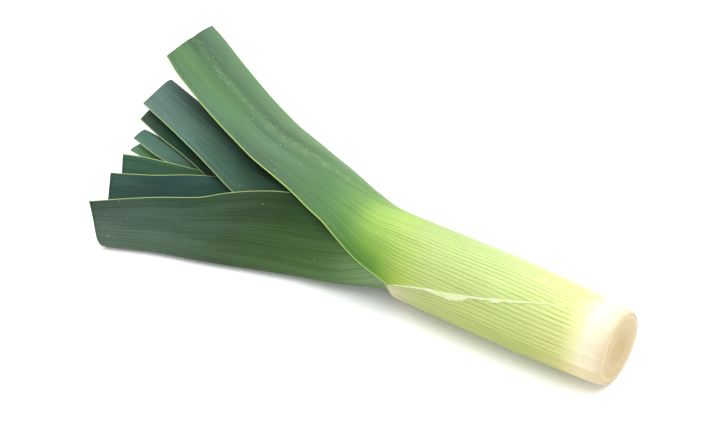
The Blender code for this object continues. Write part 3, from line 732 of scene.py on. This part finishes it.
# living leaf: smooth cuticle with a thin wax bloom, long parallel veins that show as fine stripes
def leafSkin(name, look, order):
    material, tree = newMaterial(name)
    station = addNode(tree, "ShaderNodeAttribute", attribute_name="station").outputs["Fac"]
    vein = addNode(tree, "ShaderNodeAttribute", attribute_name="vein").outputs["Fac"]
    ridge = addNode(tree, "ShaderNodeAttribute", attribute_name="ridge").outputs["Fac"]
    edgeRoom = addNode(tree, "ShaderNodeAttribute", attribute_name="edge").outputs["Fac"]
    rimRoom = addNode(tree, "ShaderNodeAttribute", attribute_name="rim").outputs["Fac"]
    toneAndShade = addNode(tree, "ShaderNodeAttribute", attribute_name="toneAndShade").outputs["Color"]

    # four noises, all drawn out along the veins
    turn = addNode(tree, "ShaderNodeMath", {0: vein, 1: 2 * math.pi}, operation="MULTIPLY")
    wave = addNode(tree, "ShaderNodeMath", {0: turn.outputs[0]}, operation="COSINE")
    scaled = addNode(tree, "ShaderNodeCombineXYZ", {0: vein, 1: station, 2: 1.0})
    noises = {}
    for key, (wide, long, step, detail, roughness) in skin["noises"].items():
        place = addNode(tree, "ShaderNodeVectorMath",
                        {0: scaled.outputs[0], 1: (1 / wide, 1 / long, order * step)}, operation="MULTIPLY")
        noises[key] = addNode(tree, "ShaderNodeTexNoise", {
            "Vector": place.outputs[0], "Scale": 1.0, "Detail": detail,
            "Roughness": roughness}).outputs["Fac"]

    # darker line in the furrow between two veins, partly the veins' own colour and partly painted shade in
    # the furrow, deepest where the ridges stand highest
    furrow = addNode(tree, "ShaderNodeMapRange", {0: wave.outputs[0], 1: -0.1, 2: -1.0},
                     interpolation_type="SMOOTHSTEP")
    unequal = addNode(tree, "ShaderNodeMapRange", {0: noises["uneven"], 1: 0.3, 2: 0.7, 3: 0.5, 4: 1.15},
                      interpolation_type="SMOOTHSTEP")
    furrow = addNode(tree, "ShaderNodeMath", {0: furrow.outputs[0], 1: unequal.outputs[0]},
                     operation="MULTIPLY")
    depth = addNode(tree, "ShaderNodeMapRange", {  # none in the white root end
        0: station, 1: skin["whiteEnd"][0], 2: skin["whiteEnd"][1], 4: look["veinDepth"] * 1.7},
        interpolation_type="SMOOTHSTEP")
    smooth = addNode(tree, "ShaderNodeMapRange", {0: ridge, 1: 0.1, 2: 1.0, 3: look["veinKeep"], 4: 1.0})
    none = addNode(tree, "ShaderNodeMapRange", {0: ridge, 2: 0.1})
    smooth = addNode(tree, "ShaderNodeMath", {0: smooth.outputs[0], 1: none.outputs[0]},
                     operation="MULTIPLY")
    depth = addNode(tree, "ShaderNodeMath", {0: depth.outputs[0], 1: smooth.outputs[0]},
                    operation="MULTIPLY")
    depth = addNode(tree, "ShaderNodeMath", {0: furrow.outputs[0], 1: depth.outputs[0]},
                    operation="MULTIPLY")
    darker = addNode(tree, "ShaderNodeMix", {0: 1.0, 6: toneAndShade, 7: opaque(skin["furrow"])}, data_type="RGBA",
                     blend_type="MULTIPLY")
    colour = addNode(tree, "ShaderNodeMix", {0: depth.outputs[0], 6: toneAndShade, 7: darker.outputs[2]},
                     data_type="RGBA")

    # long light and dark streaks
    light = addNode(tree, "ShaderNodeMapRange", {
        0: noises["streak"], 1: 0.3, 2: 0.7, 3: 1 - look["streak"], 4: 1 + look["streak"]},
        interpolation_type="SMOOTHSTEP")
    faint = addNode(tree, "ShaderNodeMapRange", {
        0: noises["streak"], 1: 0.3, 2: 0.7, 3: 1 - 0.3 * look["streak"], 4: 1 + 0.3 * look["streak"]},
        interpolation_type="SMOOTHSTEP")
    green = addNode(tree, "ShaderNodeMapRange", {
        0: station, 1: skin["greenFrom"][0], 2: skin["greenFrom"][1]}, interpolation_type="SMOOTHSTEP")
    light = addNode(tree, "ShaderNodeMix", {0: green.outputs[0], 2: faint.outputs[0], 3: light.outputs[0]})
    grain = addNode(tree, "ShaderNodeMapRange", {0: noises["fine"], 1: 0.3, 2: 0.7, 3: 0.93, 4: 1.07},
                    interpolation_type="SMOOTHSTEP")
    light = addNode(tree, "ShaderNodeMath", {0: light.outputs[0], 1: grain.outputs[0]}, operation="MULTIPLY")
    shade = addNode(tree, "ShaderNodeVectorMath", {0: colour.outputs[2], "Scale": light.outputs[0]},
                    operation="SCALE")

    # wax bloom in soft patches, towards the tips
    bloom = addNode(tree, "ShaderNodeMapRange", {
        0: noises["patch"], 1: 0.35, 2: 0.75, 3: 0.24 * look["haze"], 4: 1.6 * look["haze"]},
        interpolation_type="SMOOTHSTEP")
    upper = addNode(tree, "ShaderNodeMapRange", {
        0: station, 1: skin["bloomFrom"][0], 2: skin["bloomFrom"][1]}, interpolation_type="SMOOTHSTEP")
    bloom = addNode(tree, "ShaderNodeMath", {0: bloom.outputs[0], 1: upper.outputs[0]}, operation="MULTIPLY")
    colour = addNode(tree, "ShaderNodeMix", {0: bloom.outputs[0], 6: shade.outputs[0],
                                             7: opaque(skin["haze"])}, data_type="RGBA")
    if order == 0:                                     # pale broken stripe along the top leaf, near its fold
        away = addNode(tree, "ShaderNodeAttribute", attribute_name="stripe").outputs["Fac"]
        band = addNode(tree, "ShaderNodeMapRange", {0: away, 1: stripe["width"], 2: 0.0},
                       interpolation_type="SMOOTHSTEP")
        grow = addNode(tree, "ShaderNodeMapRange", {0: station, 1: stripe["from"][0], 2: stripe["from"][1],
                                                    4: stripe["strength"]})
        band = addNode(tree, "ShaderNodeMath", {0: band.outputs[0], 1: grow.outputs[0]},
                       operation="MULTIPLY")
        place = addNode(tree, "ShaderNodeVectorMath", {0: scaled.outputs[0], 1: (1.7, 0.15, 2.0)},
                        operation="MULTIPLY")
        breaks = addNode(tree, "ShaderNodeTexNoise", {
            "Vector": place.outputs[0], "Scale": 1.0, "Detail": 3.0})
        gap = addNode(tree, "ShaderNodeMapRange", {0: breaks.outputs["Fac"], 1: 0.42, 2: 0.62},
                      interpolation_type="SMOOTHSTEP")
        band = addNode(tree, "ShaderNodeMath", {0: band.outputs[0], 1: gap.outputs[0]}, operation="MULTIPLY")
        colour = addNode(tree, "ShaderNodeMix", {0: band.outputs[0], 6: colour.outputs[2],
                                                 7: opaque(stripe["colour"])}, data_type="RGBA")

    # translucent edge line, and the cut end
    width = skin["topEdgeWidth"] if order == 0 else skin["edgeWidth"]
    edge = addNode(tree, "ShaderNodeMapRange", {0: edgeRoom, 1: width * 1.3, 2: width * 0.5, 4: 0.85},
                   interpolation_type="SMOOTHSTEP")
    line = skin["topEdgeLine"] if order == 0 else skin["edgeLine"]
    colour = addNode(tree, "ShaderNodeMix", {0: edge.outputs[0], 6: colour.outputs[2], 7: opaque(line)},
                     data_type="RGBA")
    cut = addNode(tree, "ShaderNodeMapRange", {0: rimRoom, 1: 0.35, 2: 0.1, 4: 0.6},
                  interpolation_type="SMOOTHSTEP")
    clear = addNode(tree, "ShaderNodeMapRange", {0: edgeRoom, 1: 0.3, 2: 0.8},
                    interpolation_type="SMOOTHSTEP")
    cut = addNode(tree, "ShaderNodeMath", {0: cut.outputs[0], 1: clear.outputs[0]}, operation="MULTIPLY")
    colour = addNode(tree, "ShaderNodeMix", {0: cut.outputs[0], 6: colour.outputs[2],
                                             7: opaque(skin["cutFlesh"])}, data_type="RGBA")

    swell = addNode(tree, "ShaderNodeMath", {0: wave.outputs[0], 1: smooth.outputs[0]}, operation="MULTIPLY")
    height = addNode(tree, "ShaderNodeMath", {0: swell.outputs[0], 1: 0.5, 2: noises["fine"]},
                     operation="MULTIPLY_ADD")
    bump = addNode(tree, "ShaderNodeBump", {
        "Strength": 0.35, "Distance": 0.1 * mm, "Height": height.outputs[0]})
    rough = addNode(tree, "ShaderNodeMapRange", {
        0: noises["fine"], 1: 0.3, 2: 0.7, 3: skin["roughness"] - 0.04, 4: skin["roughness"] + 0.08})
    shader = addNode(tree, "ShaderNodeBsdfPrincipled", {
        "Base Color": colour.outputs[2], "Roughness": rough.outputs[0], "IOR": 1.45,
        "Normal": bump.outputs[0]})
    shader.inputs["Specular IOR Level"].default_value = 0.1
    if order == 0:                                     # wet shine on the shank, dull blade
        start, end, wet, dull = skin["shine"]
        shine = addNode(tree, "ShaderNodeMapRange", {0: station, 1: start, 2: end, 3: wet, 4: dull})
        tree.links.new(shine.outputs[0], shader.inputs["Specular IOR Level"])
        shader.inputs["Subsurface Weight"].default_value = 0.12
        shader.inputs["Subsurface Radius"].default_value = (0.004, 0.004, 0.002)
        shader.inputs["Subsurface Scale"].default_value = 0.6
    addNode(tree, "ShaderNodeOutputMaterial", {"Surface": shader.outputs[0]})
    return material


# scatters small dry flakes on a leaf, most of them along the stripe and the edge
def speckTree():
    tree, inputs, output = newTree("drySpecks", [
        ("Density", "NodeSocketFloat", 4000.0), ("Seed", "NodeSocketInt", 1),
        ("Size", "NodeSocketFloat", 0.0003), ("Skin", "NodeSocketMaterial", None)])
    points = addNode(tree, "GeometryNodeDistributePointsOnFaces", {
        "Mesh": inputs["Geometry"], "Density": inputs["Density"], "Seed": inputs["Seed"]})
    speck = addNode(tree, "GeometryNodeInputNamedAttribute", {"Name": "speck"}, data_type="FLOAT")
    keep = addNode(tree, "ShaderNodeMath", {0: 1.0, 1: speck.outputs["Attribute"]}, operation="SUBTRACT")
    dice = addNode(tree, "FunctionNodeRandomValue", {"Seed": inputs["Seed"]})
    drop = addNode(tree, "FunctionNodeCompare", {0: dice.outputs[1], 1: keep.outputs[0]},
                   operation="LESS_THAN")
    thin = addNode(tree, "GeometryNodeDeleteGeometry", {"Geometry": points.outputs["Points"],
                                                        "Selection": drop.outputs[0]},
                   domain="POINT")
    flake = addNode(tree, "GeometryNodeMeshIcoSphere", {"Radius": 1.0, "Subdivisions": 2})
    size = addNode(tree, "FunctionNodeRandomValue", {0: (1.2, 0.5, 0.2), 1: (3.0, 1.1, 0.3),
                                                     "Seed": inputs["Seed"]},
                   data_type="FLOAT_VECTOR")
    scaled = addNode(tree, "ShaderNodeVectorMath", {0: size.outputs[0], "Scale": inputs["Size"]},
                     operation="SCALE")
    lay = addNode(tree, "GeometryNodeInstanceOnPoints", {
        "Points": thin.outputs[0], "Instance": flake.outputs[0], "Rotation": points.outputs["Rotation"],
        "Scale": scaled.outputs[0]})
    endTree(tree, lay.outputs[0], inputs["Skin"], output)
    return tree


# dried sap and cuticle flecks: thin, pale, matt
def speckSkin():
    material, tree = newMaterial("dried_fleck")
    place = addNode(tree, "ShaderNodeTexCoord").outputs["Object"]
    mottle = addNode(tree, "ShaderNodeTexNoise", {"Vector": place, "Scale": 1 / (specks["mottle"] * mm),
                                                  "Detail": 2.0})
    mixer = addNode(tree, "ShaderNodeMix", {0: mottle.outputs["Fac"], 6: opaque(specks["dry"]),
                                            7: opaque(specks["pale"])}, data_type="RGBA")
    shader = addNode(tree, "ShaderNodeBsdfPrincipled", {"Base Color": mixer.outputs[2], "Roughness": 0.7})
    addNode(tree, "ShaderNodeOutputMaterial", {"Surface": shader.outputs[0]})
    return material


specks = {
    "dry": "#9bb58b",
    "pale": "#c5ceb5",
    "mottle": 1.11,          # mm between light and dark in a fleck
    "from": 150,             # station of the first ones
    "leaves": [(0, 42000.0, 3, 0.16), (1, 16000.0, 8, 0.15), (2, 12000.0, 5, 0.14)],
     # leaf, density, seed, size in mm
}


def speckShare(piece, order):  # where flecks may sit, outside only
    mesh = piece.data
    values = {}
    for key in ("station", "across", "edge", "inside"):
        data = np.zeros(len(mesh.vertices))
        mesh.attributes[key].data.foreach_get("value", data)
        values[key] = data
    share = np.full(len(mesh.vertices), 0.10)
    if order == 0:
        path = np.array(stripe["path"], float)
        off = np.abs(values["across"] - np.interp(values["station"], path[:, 0], path[:, 1]))
        share = 0.06 + 0.34 * np.exp(-(off / 5.0) ** 2)
    share = share + 0.5 * np.exp(-((values["edge"] - 1.0) / 0.8) ** 2)
    share = share * (values["inside"] < 0.5) * (values["station"] > specks["from"]) * (values["edge"] > 0.4)
    addField(mesh, "speck", share)


ribTree = veinRibTree()
fleckTree = speckTree()
fleckSkin = speckSkin()
leafPieces = []
for order, (shape, look) in enumerate(zip(leafShapes, leafLooks)):
    name = shape["name"] + "_blade"
    piece = linkPiece(name, leafMesh(name, shape, look, order))
    material = leafSkin("leaf_cuticle_%d" % (order + 1), look, order)
    bakeNodes(piece, ribTree, {"Ridge Height": leek["ridgeHeight"] * mm, "Skin": material})
    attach(piece, "root")
    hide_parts(shape["name"])
    leafPieces.append(piece)
    print(name, len(piece.data.polygons), "faces")

for order, density, seed, size in specks["leaves"]:
    speckShare(leafPieces[order], order)
    flecks = linkPiece("leaf_%d_flecks" % (order + 1), leafPieces[order].data.copy())
    bakeNodes(flecks, fleckTree, {"Density": density, "Seed": seed, "Size": size * mm, "Skin": fleckSkin})
    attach(flecks, "root")
    print(flecks.name, len(flecks.data.polygons), "faces")


# the cut root plate: a disc of firm cream flesh, sliced flat, with a darker ring of bundles

plate = {
    "sides": 128,
    "rings": 30,
    "radius": 16.44,
    "dish": 0.35,             # the slice is slightly hollow in the middle
    "ringAt": 0.45,
    "edgeRound": 0.9,
    "bundles": 150,           # cut ends of the root bundles
    "seed": 4,
    "flesh": "#b7a275",
    "centre": "#ab9456",
    "ring": "#ad9565",
    "rim": "#c2b38c",
    "cloud": 3.85,            # mm, size of the light and dark in the flesh
    "blot": 11.1,             # mm, size of the unevenness of its rings
    "bundleDark": "#b69d6d",
    "bundleLight": "#cbb68a",
    "bundleMottle": 1.43,     # mm
    "turn": 2.39996,          # the golden angle, which spreads the bundles evenly
    "sink": 0.09,             # mm that they stand in the flesh
}


def plateMesh():
    height = along(leek["axisHeight"], np.array([0.0]))[0]
    angles = np.linspace(0, 2 * np.pi, plate["sides"], endpoint=False)
    profile = []
    for share in np.linspace(0.02, 1, plate["rings"]):
        r = share * plate["radius"]
        inset = plate["radius"] - r
        roundOff = max(0.0, 1 - inset / plate["edgeRound"])
        hollow = plate["dish"] * math.exp(-(share / 0.5) ** 2)
        ringLift = -0.05 * math.exp(-((share - plate["ringAt"]) / 0.05) ** 2)
        profile.append((hollow + ringLift + 0.12 * roundOff ** 2, r))  # rounded off at the rim
    for depth in np.linspace(1.2, leek["plateThickness"] - 0.6, 5):
        profile.append((depth, plate["radius"]))
    profile.append((leek["plateThickness"], plate["radius"] - 0.7))  # its back edge is chamfered
    verts, faces = [], []
    for station, r in profile:
        wobble = 0.05 * np.sin(3 * angles + r) * (r < plate["radius"] - 1)
        ring = inFrame(np.full(len(angles), station) + wobble, r * np.cos(angles),
                       height + r * np.sin(angles))
        verts.extend(ring.tolist())
    n = plate["sides"]
    for k in range(len(profile) - 1):
        for j in range(n):
            faces.append((k * n + j, k * n + (j + 1) % n, (k + 1) * n + (j + 1) % n, (k + 1) * n + j))
    for station, ring in ((profile[0][0], 0), (profile[-1][0], len(profile) - 1)):
        centre = len(verts)
        verts.append(inFrame(np.array(station), np.array(0.0), np.array(height)).tolist())
        for j in range(n):
            pair = (ring * n + j, ring * n + (j + 1) % n)
            faces.append((centre, pair[1], pair[0]) if ring == 0 else (centre, pair[0], pair[1]))
    mesh = smoothMesh("root_plate_flesh", verts, faces)
    points = np.array(verts)
    centreY, centreZ = inFrame(np.array(0.0), np.array(0.0), np.array(height))[1:]
    radius = np.hypot(points[:, 1] - centreY, points[:, 2] - centreZ) / (plate["radius"] * mm)
    addField(mesh, "radius", radius)
    return mesh


# sliced basal plate: damp cream flesh, tan in the middle, in faint uneven rings
def rootFlesh():
    material, tree = newMaterial("cut_root_flesh")
    radius = addNode(tree, "ShaderNodeAttribute", attribute_name="radius").outputs["Fac"]
    place = addNode(tree, "ShaderNodeTexCoord").outputs["Object"]
    cloud = addNode(tree, "ShaderNodeTexNoise", {"Vector": place, "Scale": 1 / (plate["cloud"] * mm),
                                                 "Detail": 4.0})
    blot = addNode(tree, "ShaderNodeTexNoise", {"Vector": place, "Scale": 1 / (plate["blot"] * mm),
                                                "Detail": 2.0})
    shift = addNode(tree, "ShaderNodeMath", {0: blot.outputs["Fac"], 1: 0.16}, operation="MULTIPLY")
    bent = addNode(tree, "ShaderNodeMath", {0: radius, 1: shift.outputs[0]}, operation="ADD")
    bands = addNode(tree, "ShaderNodeValToRGB", {"Fac": bent.outputs[0]})
    stops = [(0.0, plate["centre"]), (0.2, plate["centre"]), (0.46, plate["ring"]), (0.68, plate["flesh"]),
             (0.9, plate["flesh"]), (1.0, plate["rim"])]
    for _ in range(len(stops) - 2):
        bands.color_ramp.elements.new(0.5)
    for element, (spot, code) in zip(bands.color_ramp.elements, stops):
        element.position = spot
        element.color = opaque(code)
    light = addNode(tree, "ShaderNodeMapRange", {0: cloud.outputs["Fac"], 1: 0.3, 2: 0.7, 3: 0.94, 4: 1.05})
    colour = addNode(tree, "ShaderNodeVectorMath", {0: bands.outputs[0], "Scale": light.outputs[0]},
                     operation="SCALE")
    bump = addNode(tree, "ShaderNodeBump", {"Strength": 0.3, "Distance": 0.2 * mm,
                                            "Height": cloud.outputs["Fac"]})
    shader = addNode(tree, "ShaderNodeBsdfPrincipled", {"Base Color": colour.outputs[0], "Roughness": 0.5,
                                                        "Normal": bump.outputs[0]})
    shader.inputs["Subsurface Weight"].default_value = 0.15
    shader.inputs["Subsurface Radius"].default_value = (0.004, 0.003, 0.002)
    addNode(tree, "ShaderNodeOutputMaterial", {"Surface": shader.outputs[0]})
    return material


# strews the cut ends of the fine root bundles over the slice
def bundleTree():
    tree, inputs, output = newTree("rootBundles", [
        ("Count", "NodeSocketInt", 150), ("Seed", "NodeSocketInt", 1), ("Radius", "NodeSocketFloat", 0.016),
        ("Height", "NodeSocketFloat", 0.019), ("Front", "NodeSocketFloat", 0.151),
        ("Skin", "NodeSocketMaterial", None)])
    line = addNode(tree, "GeometryNodeMeshLine", {"Count": inputs["Count"], "Offset": (0.0, 0.0, 0.0)})
    index = addNode(tree, "GeometryNodeInputIndex")
    even = addNode(tree, "ShaderNodeMath", {0: index.outputs[0], 1: inputs["Count"]}, operation="DIVIDE")
    root = addNode(tree, "ShaderNodeMath", {0: even.outputs[0], 1: 0.5}, operation="POWER")
    shake = addNode(tree, "FunctionNodeRandomValue", {2: 0.9, 3: 1.04, "Seed": inputs["Seed"]})
    reach = addNode(tree, "ShaderNodeMath", {0: root.outputs[0], 1: shake.outputs[1]}, operation="MULTIPLY")
    length = addNode(tree, "ShaderNodeMath", {0: reach.outputs[0], 1: inputs["Radius"]},
                     operation="MULTIPLY")
    turn = addNode(tree, "ShaderNodeMath", {0: index.outputs[0], 1: plate["turn"]}, operation="MULTIPLY")
    cosine = addNode(tree, "ShaderNodeMath", {0: turn.outputs[0]}, operation="COSINE")
    sine = addNode(tree, "ShaderNodeMath", {0: turn.outputs[0]}, operation="SINE")
    y = addNode(tree, "ShaderNodeMath", {0: length.outputs[0], 1: cosine.outputs[0]}, operation="MULTIPLY")
    z = addNode(tree, "ShaderNodeMath", {0: length.outputs[0], 1: sine.outputs[0], 2: inputs["Height"]},
                operation="MULTIPLY_ADD")
    spot = addNode(tree, "ShaderNodeCombineXYZ", {0: inputs["Front"], 1: y.outputs[0], 2: z.outputs[0]})
    spread = addNode(tree, "GeometryNodeSetPosition", {"Geometry": line.outputs[0],
                                                       "Position": spot.outputs[0]})
    bead = addNode(tree, "GeometryNodeMeshIcoSphere", {"Radius": 1.0, "Subdivisions": 2})
    size = addNode(tree, "FunctionNodeRandomValue", {
        0: (0.00011, 0.00012, 0.00012), 1: (0.00016, 0.00028, 0.00028), "Seed": inputs["Seed"]},
        data_type="FLOAT_VECTOR")
    lay = addNode(tree, "GeometryNodeInstanceOnPoints", {
        "Points": spread.outputs[0], "Instance": bead.outputs[0], "Scale": size.outputs[0]})
    endTree(tree, lay.outputs[0], inputs["Skin"], output)
    return tree


# tougher fibres of the slice, a little darker and drier than the flesh
def bundleSkin():
    material, tree = newMaterial("cut_root_bundle")
    place = addNode(tree, "ShaderNodeTexCoord").outputs["Object"]
    mottle = addNode(tree, "ShaderNodeTexNoise", {"Vector": place, "Scale": 1 / (plate["bundleMottle"] * mm),
                                                  "Detail": 2.0})
    mixer = addNode(tree, "ShaderNodeMix", {0: mottle.outputs["Fac"], 6: opaque(plate["bundleDark"]),
                                            7: opaque(plate["bundleLight"])}, data_type="RGBA")
    shader = addNode(tree, "ShaderNodeBsdfPrincipled", {"Base Color": mixer.outputs[2], "Roughness": 0.6})
    addNode(tree, "ShaderNodeOutputMaterial", {"Surface": shader.outputs[0]})
    return material


def bakeBundles():
    height = along(leek["axisHeight"], np.array(0.0))
    front, side, height = inFrame(np.array(plate["dish"] * 0.5), np.array(0.0), height)
    piece = linkPiece("root_bundles", bpy.data.meshes.new("root_bundles"))
    bakeNodes(piece, bundleTree(), {"Count": plate["bundles"], "Seed": plate["seed"],
                                    "Radius": (plate["radius"] - 1.2) * mm, "Height": float(height),
                                    "Front": float(front), "Skin": bundleSkin()})
    for vertex in piece.data.vertices:  # onto the axis, and sunk to the slightly hollow slice
        away = math.hypot(vertex.co.y, vertex.co.z - height) / (plate["radius"] * mm)
        hollow = plate["dish"] * math.exp(-(away / 0.5) ** 2)
        vertex.co.x += (plate["dish"] * 0.5 - hollow - plate["sink"]) * mm
        vertex.co.y += float(side)
    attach(piece, "root")


platePiece = linkPiece("root_plate_flesh", plateMesh())
platePiece.data.materials.append(rootFlesh())
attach(platePiece, "root")
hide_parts("root_plate")
bakeBundles()
print("root plate made")


# dry papery edge of the outer sheath, winding round the shank

margin = {
    "from": 24.0,              # stations at which it starts and ends
    "to": 111.6,
    "width": [(24, 0.15), (38, 0.4), (46, 1.5), (54, 1.4), (62, 1.0), (66, 1.3), (70, 2.7), (80, 2.4),
              (87, 1.3), (98, 0.6), (110, 0.35)],
    "lift": 0.12,              # mm it stands off the sheath
    "thickness": 0.12,
    "rag": 0.55,               # how ragged its free edge is
    "rows": 360,
    "columns": 8,
    "seed": 11,
    "paper": "#d2d7b6",
    "wet": "#c0cf8e",
    "root": "#dfddab",
    "fibre": (5.56, 1.11),     # mm, length and width of its fibres
}


def paperyMarginMesh():
    rng = np.random.default_rng(margin["seed"])
    s = np.linspace(margin["from"], margin["to"], margin["rows"])
    angle = along(flap["seam"], s)
    thin = 0.3 + 0.7 * ease((s - margin["from"]) / 16) * ease((margin["to"] - s) / 20)  # thin at both ends
    width = along(margin["width"], s)
    rough = np.zeros(len(s))
    for period, size in ((26, 0.5), (11, 0.35), (5, 0.3), (2, 0.2)):
        knots = rng.uniform(-1, 1, len(s) // period + 3)
        rough += size * np.interp(np.arange(len(s)) / period, np.arange(len(knots)), knots)
    low = width * (1 + margin["rag"] * rough)
    high = -0.15 * width
    height, radius = sheathCircle(0, s)
    layers = []
    for lift in (margin["lift"] + margin["thickness"], -0.05):
        grid = []
        for c in np.linspace(0, 1, margin["columns"]):
            off = high + (low - high) * c
            crown = margin["thickness"] * math.sin(math.pi * (0.15 + 0.7 * c))
            lifted = lift if lift < 0 else thin * (margin["lift"] * (0.4 + 0.6 * c) + crown)
            r = radius + lifted
            a = np.radians(angle) + off / radius
            grid.append(inFrame(s, r * np.cos(a), height + r * np.sin(a)))
        layers.append(np.stack(grid, axis=1))
    rows, columns = margin["rows"], margin["columns"]
    points = np.stack(layers).reshape(-1, 3)
    index = np.arange(2 * rows * columns).reshape(2, rows, columns)
    faces = shellFaces(index[0], index[1], 0)
    mesh = smoothMesh("papery_margin", points.tolist(), faces.tolist())
    fade = np.broadcast_to(s[None, :, None], (2, rows, columns)).reshape(-1)
    addField(mesh, "station", fade)
    return mesh


# dried leaf margin: thin white skin, matt, the green under it shows through
def paperySkin():
    material, tree = newMaterial("dry_papery_margin")
    place = addNode(tree, "ShaderNodeTexCoord").outputs["Object"]
    long, wide = (1 / (size * mm) for size in margin["fibre"])
    squash = addNode(tree, "ShaderNodeMapping", {"Vector": place, "Scale": (long, wide, wide)})
    fibres = addNode(tree, "ShaderNodeTexNoise", {"Vector": squash.outputs[0], "Scale": 1.0, "Detail": 3.0})
    station = addNode(tree, "ShaderNodeAttribute", attribute_name="station").outputs["Fac"]
    dry = addNode(tree, "ShaderNodeMapRange", {0: fibres.outputs["Fac"], 1: 0.35, 2: 0.65})
    far = addNode(tree, "ShaderNodeMapRange", {0: station, 1: 26.0, 2: 62.0, 3: 0.25, 4: 1.0})
    amount = addNode(tree, "ShaderNodeMath", {0: dry.outputs[0], 1: far.outputs[0]}, operation="MULTIPLY")
    white = addNode(tree, "ShaderNodeMapRange", {0: station, 1: 24.0, 2: 45.0})
    under = addNode(tree, "ShaderNodeMix", {0: white.outputs[0], 6: opaque(margin["root"]),
                                            7: opaque(margin["wet"])}, data_type="RGBA")
    mixer = addNode(tree, "ShaderNodeMix", {0: amount.outputs[0], 6: under.outputs[2],
                                            7: opaque(margin["paper"])}, data_type="RGBA")
    shader = addNode(tree, "ShaderNodeBsdfPrincipled", {"Base Color": mixer.outputs[2], "Roughness": 0.65})
    addNode(tree, "ShaderNodeOutputMaterial", {"Surface": shader.outputs[0]})
    return material


marginPiece = linkPiece("papery_margin", paperyMarginMesh())
marginPiece.data.materials.append(paperySkin())
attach(marginPiece, "root")
print("papery margin made")


# floor, light and camera

studio = {
    "floor": "#f7f7f8",
    "floorGlow": 0.09,       # a little light through the paper
    "worldStrength": 0.95,
    "sunStrength": 2.76,
    "sunAngle": 80.0,        # degrees, as wide as a softbox held close
    "sunFrom": (0.1, 0.18, 1.0),
    "lens": 95.26,           # mm
    "azimuth": 35.5,         # degrees round from the front, and up
    "elevation": 36.0,
    "distance": 0.9,         # metres from the target
    "target": (-0.0047, 0.00053, 0.01506),
}


# a wide sweep of matt white paper, almost without shine
def makeFloor():
    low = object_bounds()[0][2]
    half = 3.0
    mesh = bpy.data.meshes.new("floor")
    mesh.from_pydata([(-half, -half, low), (half, -half, low), (half, half, low), (-half, half, low)], [],
                     [(0, 1, 2, 3)])
    floor = linkPiece("floor", mesh)
    material = bpy.data.materials.new("white_paper_sweep")
    material.use_nodes = True
    shader = material.node_tree.nodes["Principled BSDF"]
    shader.inputs["Base Color"].default_value = opaque(studio["floor"])
    shader.inputs["Roughness"].default_value = 0.9
    shader.inputs["Specular IOR Level"].default_value = 0.1
    shader.inputs["Emission Color"].default_value = opaque("#ffffff")
    shader.inputs["Emission Strength"].default_value = studio["floorGlow"]
    mesh.materials.append(material)


def makeLights():
    world = bpy.data.worlds.new("softWhiteRoom")
    bpy.context.scene.world = world
    world.use_nodes = True
    background = world.node_tree.nodes["Background"]
    background.inputs[0].default_value = opaque("#ffffff")
    background.inputs[1].default_value = studio["worldStrength"]
    sun = bpy.data.lights.new("softOverhead", "SUN")
    sun.energy = studio["sunStrength"]
    sun.angle = math.radians(studio["sunAngle"])
    lamp = bpy.data.objects.new("softOverhead", sun)
    lamp.rotation_euler = Vector(studio["sunFrom"]).to_track_quat("Z", "Y").to_euler()
    bpy.context.scene.collection.objects.link(lamp)


def makeCamera():
    a, e = math.radians(studio["azimuth"]), math.radians(studio["elevation"])
    back = Vector((math.sin(a) * math.cos(e), -math.cos(a) * math.cos(e), math.sin(e)))
    lens = bpy.data.cameras.new("camera")
    lens.lens = studio["lens"]
    lens.sensor_width = 36.0
    camera = bpy.data.objects.new("camera", lens)
    camera.location = Vector(studio["target"]) + back * studio["distance"]
    camera.rotation_euler = back.to_track_quat("Z", "Y").to_euler()
    bpy.context.scene.collection.objects.link(camera)
    bpy.context.scene.camera = camera


makeFloor()
makeLights()
makeCamera()
bpy.context.scene.view_settings.view_transform = "Standard"
print("studio made")
